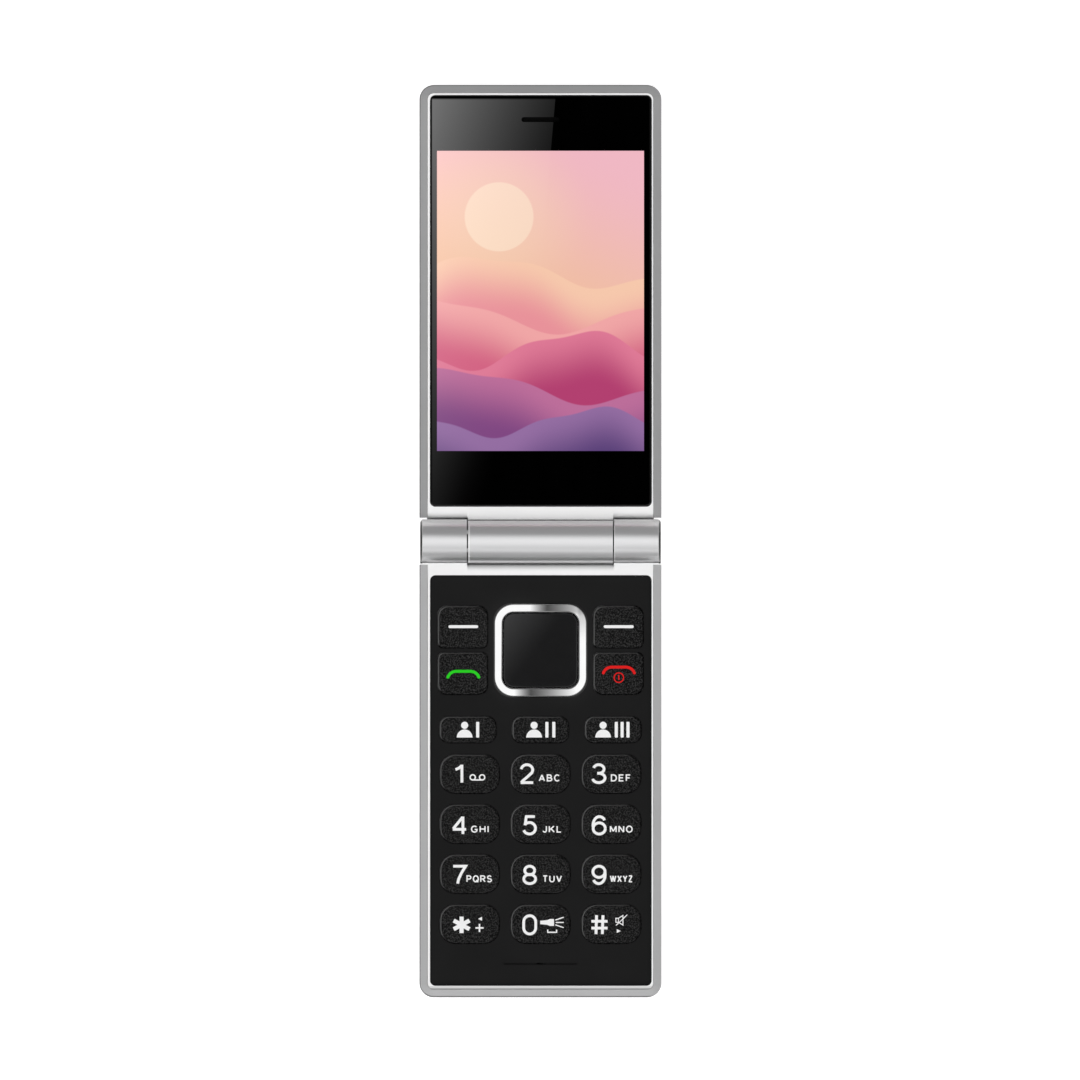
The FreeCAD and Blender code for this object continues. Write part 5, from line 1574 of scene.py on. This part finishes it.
KEY_CAPS: Tuple[KeyCap, ...] = (
    KeyCap("key_1", NUMBER, (Word("1", -3.47, -1.42, *DIGIT_ROWS[0]), loop(0.68, -0.74, 0.58, 0.30),
                             loop(2.78, -0.74, 0.58, 0.30), Stroke(((0.68, -1.32), (2.78, -1.32)), 0.30))),
    lettered("2", (-4.72, -1.31), "ABC", (-0.40, 4.42)),
    lettered("3", (-4.41, -1.00), "DEF", (-0.11, 4.36)),
    lettered("4", (-4.08, -0.48), "GHI", (0.28, 4.27)),
    lettered("5", (-4.06, -0.75), "JKL", (0.45, 4.71)),
    lettered("6", (-4.44, -1.00), "MNO", (-0.33, 4.78)),
    lettered("7", (-3.99, -0.60), "PQRS", (-0.73, 4.98)),
    lettered("8", (-4.06, -0.75), "TUV", (0.45, 4.80)),
    lettered("9", (-4.44, -1.00), "WXYZ", (-0.33, 4.78)),
    KeyCap("key_star", NUMBER, (
        square(0.92, (-1.80, -2.02), (-1.80, 1.66)), square(0.92, (-3.56, -1.14), (-0.04, 0.78)),
        square(0.92, (-3.56, 0.78), (-0.04, -1.14)), Plate(((1.90, 1.17), (2.75, 0.72), (2.75, 1.62))),
        square(0.36, (1.28, -0.86), (3.10, -0.86)), square(0.36, (2.19, -1.77), (2.19, 0.05)))),
    KeyCap("key_0", NUMBER, (
        Word("0", -4.06, -0.75, -2.53, 2.18),
        Plate(((-0.06, -0.02), (1.50, -0.16), (1.50, 0.88), (-0.06, 0.74))),
        Plate(((1.50, -0.16), (2.10, -0.42), (3.02, -0.42), (3.02, 1.14), (2.10, 1.14), (1.50, 0.88))),
        Stroke(((3.42, 0.92), (5.10, 1.50)), 0.24), Stroke(((3.50, 0.36), (5.10, 0.36)), 0.24),
        Stroke(((3.42, -0.20), (5.10, -0.78)), 0.24),
        square(0.28, (1.62, -1.22), (1.62, -1.84), (3.60, -1.84), (3.60, -1.22)))),
    KeyCap("key_hash", NUMBER, (
        square(0.64, (-3.42, -2.24), (-3.28, 1.98)), square(0.64, (-2.00, -2.24), (-1.86, 1.98)),
        square(0.62, (-4.44, 0.62), (-0.84, 0.62)), square(0.62, (-4.44, -0.90), (-0.84, -0.90)),
        Stroke(((1.02, 0.40), (1.60, 0.40), (2.60, -0.22), (2.60, 1.92), (1.60, 1.30), (1.02, 1.30)),
               0.20, True),
        Stroke(((1.60, 0.40), (1.60, 1.30)), 0.18), Stroke(((1.10, -0.26), (3.50, 2.02)), 0.20),
        Plate(((1.22, -2.00), (2.10, -1.55), (1.22, -1.10))))),
    KeyCap("key_memory_1", MEMORY, person(-0.72) + (Bar(2.18),)),
    KeyCap("key_memory_2", MEMORY, person(-1.42) + (Bar(1.43), Bar(2.97))),
    KeyCap("key_memory_3", MEMORY, person(-2.23) + (Bar(0.72), Bar(2.02), Bar(3.33))),
    KeyCap("key_soft_left", UPPER, (Stroke(((-2.86, 0.06), (3.12, 0.06)), 0.66),)),
    KeyCap("key_soft_right", UPPER, (Stroke(((-2.91, 0.06), (3.12, 0.06)), 0.66),)),
    KeyCap("key_call", LOWER, (handset(0.50),), Finishes.GREEN_INK),
    KeyCap("key_end", LOWER, (handset(1.44), loop(0.13, -0.91, 1.06, 0.26),
                              Stroke(((0.13, -0.42), (0.13, -1.30)), 0.26)), Finishes.RED_INK),
)


# Sub-assemblies


@dataclass
class Case:
    """Both shells, both front frames, the battery cover and the small pieces seen from outside."""

    # How far the painted shade reaches in from each frame's inner lip.
    lid_lip_shade: float = 0.17
    base_lip_shade: float = 0.12

    def build(self) -> List[Piece]:
        """Smooth copies of the case's solids; each frame has painted shade round the insert that lies in it.

        Returns:
            The pieces.
        """
        lid_frame = FramePaint("lid_frame_paint", *plan_of("display_lens")[2:], self.lid_lip_shade, 1.0)
        base_frame = FramePaint("base_frame_paint", *plan_of("keypad_panel")[2:], self.base_lip_shade, -1.0)
        return [smooth_copy(*row) for row in (
            ("lid_back_shell", Finishes.LID_SILVER, Slot.SILVER),
            ("base_rear_shell", Finishes.BASE_SILVER, Slot.SILVER),
            ("lid_front_frame", lid_frame, Slot.WHITE),
            ("base_front_frame", base_frame, Slot.WHITE),
            ("battery_cover", Finishes.BASE_SILVER, Slot.SILVER),
            ("hinge_end_caps", Finishes.CAP_SILVER, Slot.SILVER),
            ("screw_plugs", Finishes.PLUG, Slot.RUBBER),
            ("charging_port", Finishes.STEEL, Slot.STEEL))]


@dataclass
class Screen:
    """Display lens with its earpiece slot, the lit display under it, and the weave in the slot."""

    bevel: float = 0.15
    slot_half: Point = (4.25, 0.55)
    lit_inset: Point = (1.5, 12.28)

    def lens(self, lit: Sequence[np.ndarray]) -> Piece:
        """Lens as a closed loop of rings from the slot round to the slot.

        The rings run from the slot's wall out along the back, up the edge, over a rounded bevel and
        in along the front to the slot again.

        Args:
            lit: corners of the lit area in millimetres.

        Returns:
            The lens.
        """
        low, high, half, middle = plan_of("display_lens")
        back, front = low[2], high[2]
        rim = swept(half, [LENS_CORNER], edged([(0.0, back)], self.bevel, front), middle)
        wall = np.array([[-EDGE_STRIP, front], [0.0, front], [0.0, back], [-EDGE_STRIP, back]])
        slot = swept(self.slot_half, self.slot_half[1:], wall, plan_of("earpiece_mesh")[3])
        patch = grid(np.concatenate([rim, slot]), True)
        piece = make_piece("lens_glass", patch, BondedLens("lens_glass", *lit))
        return settle(piece, "lid", ["display_lens"])

    def build(self) -> List[Piece]:
        """Lens as a new piece, and the display and the weave dressed in place.

        Returns:
            The pieces.
        """
        low, high, _, _ = plan_of("display_lens")
        lit = (low[:2] + self.lit_inset, high[:2] - self.lit_inset)
        return [self.lens(lit), dress("lcd_panel", DunePicture("lit_display", *lit)),
                dress("earpiece_mesh", Finishes.MESH)]


@dataclass
class Keypad:
    """Keypad panel, the nineteen printed keys, the navigation ring and the middle key."""

    skirt: float = 0.45
    flange: float = 0.6
    edge: float = 0.32
    ink_lift: float = 0.012
    ink_step: float = 0.0015
    ring_band: float = 1.75
    ring_corner: float = 4.3
    ring_edge: float = 0.15
    ring_flange: float = 0.4
    ring_steps: int = 12
    middle_corner: float = 2.4
    middle_thick: float = 2.0
    stem_half: Point = (1.4, 1.4)
    stem_corner: float = 0.3
    # Side that the keys' painted edge highlight favours: the upper left.
    highlight_side: Point = (-0.86, 0.5)

    def flanged(self, low: float, flange: float) -> List[Point]:
        """Rows of inset and level up the flange's side and in along its top."""
        return [(-self.skirt, low), (-self.skirt, low + flange), (0.0, low + flange)]

    def cap(self, cap: KeyCap) -> Piece:
        """One key: flange, upright side, rounded edge and flat top, as rings from pole to pole.

        Args:
            cap: the key's facts.

        Returns:
            The key.
        """
        low, high, half, middle = plan_of(cap.node)
        section = edged(self.flanged(low[2], self.flange), self.edge, high[2])
        rings = swept(half - self.skirt, cap.radii, section, middle)
        piece = make_piece("cap_" + cap.node, grid(poled(rings, low[2], high[2])), Finishes.KEY)
        # Marks the edges for the painted highlight.
        mark_edges(piece, self.highlight_side)
        return settle(piece, cap.node, [cap.node])

    def legend(self, cap: KeyCap) -> Piece:
        """The key's print, a hair above its top, each stroke a little above the one before.

        Args:
            cap: the key's facts.

        Returns:
            The print.
        """
        _, high, _, middle = plan_of(cap.node)
        layers = [layer for mark in cap.marks for layer in mark.layers()]
        for number, layer in enumerate(layers):
            layer.points = layer.points + [*middle, high[2] + self.ink_lift + number * self.ink_step]
        piece = make_piece("legend_" + cap.node, joined(layers), cap.ink, Sharpness.FLAT)
        return settle(piece, cap.node)

    def ring(self) -> Piece:
        """Navigation ring: its section carried round a rounded square.

        The section runs from the inner foot out along the bottom, up the flange and the outer side,
        over two rounded edges and down the inner side.

        Returns:
            The ring.
        """
        low, high, half, middle = plan_of("nav_ring")
        base = [(self.ring_band, low[2])] + self.flanged(low[2], self.ring_flange)
        outer, rounded = (edged(start, self.ring_edge, high[2]) for start in (base, np.empty((0, 2))))
        section = np.concatenate([outer, rounded[::-1] * [-1.0, 1.0] + [self.ring_band, 0.0]])
        side = half[0] - self.skirt
        rings = swept((side, side), [self.ring_corner], section, middle, self.ring_steps)
        piece = make_piece("chrome_ring", grid(rings, True), Finishes.CHROME)
        return settle(piece, NODE_BODY["nav_ring"], ["nav_ring"])

    def middle(self) -> Piece:
        """Middle key: a rounded square plate with a soft edge, and its stem below.

        Returns:
            The key.
        """
        low, high, half, centre = plan_of("key_middle")
        top, foot = high[2], high[2] - self.middle_thick
        plate = swept(half, [self.middle_corner], edged([(0.0, foot)], self.edge, top), centre)
        stem = swept(self.stem_half, [self.stem_corner], np.array([[0.0, low[2]], [0.0, foot]]), centre)
        patch = joined([grid(poled(plate, foot, top)), grid(poled(stem, low[2], foot))])
        piece = make_piece("middle_pad", patch, Finishes.PAD)
        return settle(piece, NODE_BODY["key_middle"], ["key_middle"])

    def build(self) -> List[Piece]:
        """Panel, keys, legends, ring and middle key.

        Returns:
            The pieces.
        """
        pieces = [smooth_copy("keypad_panel", Finishes.PANEL, Slot.BLACK, Sharpness.CRISP)]
        for cap in KEY_CAPS:
            pieces += [self.cap(cap), self.legend(cap)]
        return pieces + [self.ring(), self.middle()]


@dataclass
class LidBack:
    """Camera window, torch lens, and what lies behind them."""

    def build(self) -> List[Piece]:
        """Windows as smooth copies, camera and torch dressed in place.

        Returns:
            The pieces.
        """
        eye, torch = (plan_of(node)[3] for node in ("camera_window", "torch_lens"))
        return [smooth_copy("camera_window", RingedGlass("camera_glass", eye), Slot.WINDOW),
                smooth_copy("torch_lens", FrostedLens("torch_frost", torch), Slot.WINDOW),
                dress("camera_module", CameraEye("camera_eye", eye)),
                dress("torch_light", Finishes.TORCH)]


@dataclass
class KnuckleWashers:
    """Thin black washers in the two gaps between the knuckles, about the hinge axis: dark sheets that stand
    in for the shade in the gaps.
    """

    thick: float = 0.1
    outer: float = 4.5
    left_bore: float = 1.75
    right_bore: float = 2.65
    steps: int = 64

    def washer(self, name: str, middle: float, bore: float) -> Piece:
        """Washer as a rectangular section (x, r) carried round the axis: (x, r cos t, z + r sin t).

        Args:
            name: the piece's name.
            middle: X of its middle in millimetres.
            bore: radius of its hole.

        Returns:
            The washer.
        """
        low, high = middle - self.thick / 2.0, middle + self.thick / 2.0
        section = np.array([[low, self.outer], [high, self.outer], [high, bore], [low, bore]])
        turn = np.linspace(0.0, FULL_TURN, self.steps, endpoint=False)
        rings = np.stack([np.broadcast_to(section[:, :1], (4, self.steps)), section[:, 1:] * np.cos(turn),
                          HINGE_Z + section[:, 1:] * np.sin(turn)], axis=-1)
        # Black, as painted shade in the gaps between the knuckles.
        return settle(make_piece(name, grid(rings, True), Finishes.BLACK), "base")

    def build(self) -> List[Piece]:
        """Left washer round the shaft, right washer round the bushing."""
        return [self.washer("washer_left", -KNUCKLE_GAP, self.left_bore),
                self.washer("washer_right", KNUCKLE_GAP, self.right_bore)]


@dataclass
class HingeCable:
    """Flat cable: a run and a coil in the lid, a neck along the hinge's bore, and a tail in the base.

    The runs are rows of Y and Z in millimetres.
    """

    thick: float = 0.12
    neck_thick: float = 0.096
    coil: Point = (4.81, 9.41)
    neck: Point = (8.81, 24.0)
    tail: Point = (21.6, 24.0)
    neck_half: float = 1.2
    coil_radius: Point = (2.2, 0.85)
    coil_turn: Point = (-90.0, -450.0)
    steps: int = 61
    clear: float = 0.2
    lid_run: Tuple[Point, ...] = ((30.0, 5.66), (25.0, 5.66), (11.667, 7.8), (10.6, 9.4))
    base_run: Tuple[Point, ...] = ((-1.2, 10.75), (-1.7, 9.4), (-7.65, 9.4), (-13.4, 7.51),
                                   (-15.4, 7.51))

    def band(self, run: np.ndarray, sides: Point) -> Patch:
        """Strip along rows of Y and Z, between two values of X."""
        path = np.concatenate([np.full((len(run), 1), sum(sides) / 2.0), run], axis=1)
        return strip(path, (1.0, 0.0, 0.0), (sides[1] - sides[0]) / 2.0, self.thick)

    def build(self) -> List[Piece]:
        """The cable as three strips.

        The coil is (r cos t, z + r sin t) about the hinge axis, with r and t running evenly between
        the ends of coil_radius and coil_turn.

        Returns:
            The cable, bent between base and lid along the neck.
        """
        turn = np.radians(np.linspace(*self.coil_turn, self.steps))
        radius = np.linspace(*self.coil_radius, self.steps)
        coil = np.stack([radius * np.cos(turn), HINGE_Z + radius * np.sin(turn)], axis=-1)
        level = HINGE_Z - self.coil_radius[1]
        to_lid = np.concatenate([self.lid_run, coil, [[-self.neck_half, level]]])
        to_base = np.concatenate([[[0.0, level]], self.base_run])
        along = np.linspace(*self.neck, self.steps)
        line = np.stack([along, np.zeros(self.steps), np.full(self.steps, level)], axis=-1)
        neck = strip(line, (0.0, 1.0, 0.0), self.neck_half, self.neck_thick)
        patch = joined([self.band(to_lid, self.coil), neck, self.band(to_base, self.tail)])
        piece = make_piece("twisting_cable", patch, Finishes.CABLE)
        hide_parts("hinge_flat_cable")
        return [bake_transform(piece)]


@dataclass
class Inside:
    """Pieces inside the case, which keep their solids and get their finish by slot."""

    finishes: Dict[Slot, Finish] = field(default_factory=lambda: {
        Slot.STEEL: Finishes.STEEL, Slot.BLACK: Finishes.BLACK, Slot.BOARD: Finishes.BOARD,
        Slot.HINGE: Finishes.HINGE, Slot.BRASS: Finishes.BRASS, Slot.RUBBER: Finishes.RUBBER,
        Slot.DOME: Finishes.DOME, Slot.BATTERY: Finishes.BATTERY})
    done: Tuple[str, ...] = ("camera_module", "torch_light", "lcd_panel", "earpiece_mesh")

    def build(self) -> List[Piece]:
        """Dresses each node that still shows.

        Returns:
            The pieces.
        """
        pieces = []
        for name, node in frame["nodes"].items():
            if not node.hide_render and name not in self.done:
                slot = Slot(node.material_slots[0].material.name.split(".")[0])
                pieces.append(dress(name, self.finishes[slot]))
        return pieces


# Studio


@dataclass(frozen=True)
class Card:
    """Reflection card over part of the phone, between two corners in millimetres."""

    name: str
    low: Point
    high: Point

    def glow(self, across: Signal, along: Signal) -> Signal:
        """Light that the card sends out at X and Y in millimetres."""
        raise NotImplementedError


@dataclass(frozen=True)
class LensCard(Card):
    """Pale panel over the lens's left side, cut by a slanting edge, fading right and down.

    The level that the lens shows, from 0 to 255, is down y - right x - start.
    """

    left: float = -24.2
    top: float = 98.65
    cut: Point = (3.35, 99.1)
    slant: float = 0.0864
    right: float = 2.7785
    down: float = 0.91
    start: float = 42.5

    def glow(self, across: Signal, along: Signal) -> Signal:
        """Linear light of the level, over the share that the lens mirrors.

        Args:
            across, along: X and Y in millimetres.

        Returns:
            The light.
        """
        edge = (along - self.cut[1]) * self.slant + self.cut[0]
        inside = (across - edge).under(0.0, soft=0.06) * across.under(self.left, soft=-0.1)
        level = (along * self.down - across * self.right - self.start).most(0.0) / SCREEN_WHITE
        return inside * along.under(self.top, soft=0.25) * level ** SCREEN_GAMMA / MIRRORED_SHARE


@dataclass(frozen=True)
class HingeCard(Card):
    """Bright band over the hinge barrel, fading slowly towards the keypad and fast towards the lid."""

    lid_fade: Point = (3.4, 0.3)
    base_fade: Point = (-5.0, -0.2)
    least: float = 0.26

    def glow(self, across: Signal, along: Signal) -> Signal:
        """Product of both fades, above the least level."""
        return along.rise(*self.lid_fade) * along.rise(*self.base_fade) * (1.0 - self.least) + self.least


@dataclass(frozen=True)
class KeypadCard(Card):
    """Black card, with the light that the chrome ring and the middle key mirror.

    Over the ring's upper and lower bar the level drops steeply to a dark spot and climbs slowly to
    its right; over the middle key it fades from the upper left. A bar's numbers are the spot's X,
    the fall and the climb for each millimetre, and the level at the spot, from 0 to 255.
    """

    ring_y: float = -24.33
    ring_half: Point = (10.3, 10.3)
    ring_corner: float = 4.3
    ring_inner: Point = (-1.9, -1.75)
    ring_outer: Point = (0.9, 0.7)
    bars_start: Point = (7.4, 8.8)
    upper_bar: Tuple[float, ...] = (1.5, 47.0, 17.5, 75.0)
    lower_bar: Tuple[float, ...] = (-2.2, 50.0, 17.8, 74.0)
    ring_light: float = 1.1
    pad_fall: Tuple[float, ...] = (1.79, 2.465, 2.0, 33.0)
    pad_own: float = 0.008
    pad_edge: Point = (-1.9, -2.0)
    shaded: float = 0.4
    shaded_x: Point = (8.0, 8.8)
    shaded_y: Point = (1.0, 9.0)

    @staticmethod
    def bar(across: Signal, spot: float, fall: float, climb: float, dark: float) -> Signal:
        """Linear light along one bar of the ring.

        Args:
            across: X in millimetres.
            spot: X of the dark spot.
            fall, climb: change of the level for each millimetre to its left and right.
            dark: level at the spot, from 0 to 255.

        Returns:
            The light.
        """
        right = across - spot
        level = ((right * -fall).most(right * climb) + dark).least(SCREEN_WHITE)
        return (level / SCREEN_WHITE) ** SCREEN_GAMMA

    def glow(self, across: Signal, along: Signal) -> Signal:
        """Light of the ring's bars and sides, dimmer at the upper right, and of the middle key.

        Args:
            across, along: X and Y in millimetres.

        Returns:
            The light.
        """
        up = along - self.ring_y
        reach = beside(across, up, self.ring_half, self.ring_corner)
        ring = reach.rise(*self.ring_inner) * reach.rise(*self.ring_outer)
        upper, lower = (way.rise(*self.bars_start) for way in (up, up * -1.0))
        band = (upper * self.bar(across, *self.upper_bar) + lower * self.bar(across, *self.lower_bar)
                + (1.0 - upper - lower))
        high, right, start, least = self.pad_fall
        glance = ((up * high - across * right - start).most(0.0) + least) / SCREEN_WHITE
        pad = reach.rise(*self.pad_edge) * (glance ** SCREEN_GAMMA - self.pad_own) / MIRRORED_SHARE
        shade = 1.0 - across.rise(*self.shaded_x) * up.rise(*self.shaded_y) * self.shaded
        return ring * band * shade * self.ring_light + pad


@dataclass
class Studio:
    """Camera straight above the open phone, white floor, soft sky of light and reflection cards."""

    view_width: float = 0.24099
    view_middle: Point = (-0.000106, 0.000268)
    camera_height: float = 0.6
    floor_half: float = 3000.0
    floor_level: float = -0.4
    floor_glow: float = 0.7
    floor_tone: float = 0.8
    floor_roughness: float = 0.8
    horizon: float = 0.26
    zenith: float = 3.6
    spread: float = 8.0
    lean: Tuple[float, float, float] = (-0.05, -0.3, 0.95)
    card_level: float = 18.0
    card_fade: Point = (0.25, 0.35)
    cards: Tuple[Card, ...] = (LensCard("lens_card", (-26.0, 7.3), (26.0, 101.0)),
                               HingeCard("hinge_card", (-26.9, -5.2), (26.9, 5.2)),
                               KeypadCard("keypad_card", (-30.0, -106.0), (30.0, -6.2)))

    def camera(self) -> Piece:
        """Camera that looks straight down, with the lid upwards in the picture.

        Returns:
            The camera.
        """
        lens = bpy.data.cameras.new("camera")
        lens.type = "ORTHO"
        lens.ortho_scale = self.view_width
        camera = bpy.data.objects.new("camera", lens)
        camera.location = (*self.view_middle, self.camera_height)
        bpy.context.scene.collection.objects.link(camera)
        bpy.context.scene.camera = camera
        return camera

    def sheet(self, name: str, low: Point, high: Point, level: float,
              material: bpy.types.Material) -> Piece:
        """Flat rectangle of the studio, in millimetres.

        Args:
            name: its name.
            low, high: two of its corners in plan.
            level: its height.
            material: its material.

        Returns:
            The sheet.
        """
        corners = np.array([[low[0], low[1], level], [high[0], low[1], level],
                            [high[0], high[1], level], [low[0], high[1], level]])
        mesh = bpy.data.meshes.new(name)
        mesh.from_pydata((corners * MM).tolist(), [], [[0, 1, 2, 3]])
        mesh.materials.append(material)
        piece = bpy.data.objects.new(name, mesh)
        bpy.context.scene.collection.objects.link(piece)
        return piece

    def white(self, graph: Graph) -> Signal:
        """Pale shader that keeps the shadow, and reads as white to camera, metal and glass.

        Args:
            graph: the material's graph.

        Returns:
            The shader.
        """
        path = graph.add("ShaderNodeLightPath", output="Is Camera Ray")
        seen = path.most(path.also("Is Glossy Ray")).most(path.also("Is Transmission Ray"))
        return graph.add("ShaderNodeBsdfPrincipled", None,
                         {"Base Color": grey(self.floor_tone), "Roughness": self.floor_roughness,
                          "Specular IOR Level": 0.0,
                          "Emission Color": seen, "Emission Strength": self.floor_glow})

    def floor(self) -> Piece:
        """White floor just below the phone.

        Returns:
            The floor.
        """
        half = self.floor_half
        return self.sheet("floor", (-half, -half), (half, half), self.floor_level,
                          material_of("floor_white", self.white))

    def sky(self) -> None:
        """Soft light from all round, strongest overhead and leaning to the keypad's end.

        The level towards a direction d is horizon + zenith max(0, d . lean) ** spread.
        """
        world = bpy.data.worlds.new("studio")
        bpy.context.scene.world = world
        world.use_nodes = True
        graph = Graph(world.node_tree)
        ray = graph.add("ShaderNodeTexCoord", output="Generated")
        lean = tuple(np.array(self.lean) / np.linalg.norm(self.lean))
        facing = graph.add("ShaderNodeVectorMath", {"operation": "DOT_PRODUCT"}, {0: ray, 1: lean}, "Value")
        level = facing.most(0.0) ** self.spread * self.zenith + self.horizon
        camera = graph.add("ShaderNodeLightPath", output="Is Camera Ray")
        back = graph.add("ShaderNodeBackground", None, {"Color": camera + (1.0 - camera) * level})
        graph.add("ShaderNodeOutputWorld", None, {"Surface": back})

    def hang(self, card: Card) -> Piece:
        """Hangs a card that only steep reflections see.

        It fades out where 1 less the cosine of the ray's angle to its normal lies in card_fade.

        Args:
            card: the card.

        Returns:
            The card's sheet.
        """
        def lit(graph: Graph) -> Signal:
            """The card's light, mixed into nothing for slanting rays.

            Args:
                graph: the material's graph.

            Returns:
                The shader.
            """
            across, along, _ = graph.place()
            light = graph.add("ShaderNodeEmission", None, {"Color": card.glow(across, along)})
            clear = graph.add("ShaderNodeBsdfTransparent")
            slope = graph.add("ShaderNodeLayerWeight", None, {"Blend": 0.5}, "Facing")
            return graph.add("ShaderNodeMixShader", None,
                             {0: slope.rise(*self.card_fade), 1: light, 2: clear})
        piece = self.sheet(card.name, card.low, card.high, self.card_level, material_of(card.name, lit))
        for ray in ("camera", "diffuse", "transmission", "volume_scatter", "shadow"):
            setattr(piece, "visible_" + ray, False)
        return piece

    def build(self) -> List[Piece]:
        """Camera, floor, light and cards.

        Returns:
            The pieces.
        """
        bpy.context.scene.view_settings.view_transform = "Standard"
        self.sky()
        return [self.camera(), self.floor()] + [self.hang(card) for card in self.cards]


def main() -> None:
    """Builds the studio and each sub-assembly in order, and reports each piece."""
    logging.basicConfig(level=logging.INFO, format="%(name)s: %(message)s")
    for assembly in (Studio(), Case(), Screen(), Keypad(), LidBack(), KnuckleWashers(), HingeCable(),
                     Inside()):
        for piece in assembly.build():
            LOG.info("%s: %s", type(assembly).__name__, piece.name)


if __name__ == "__main__":
    main()
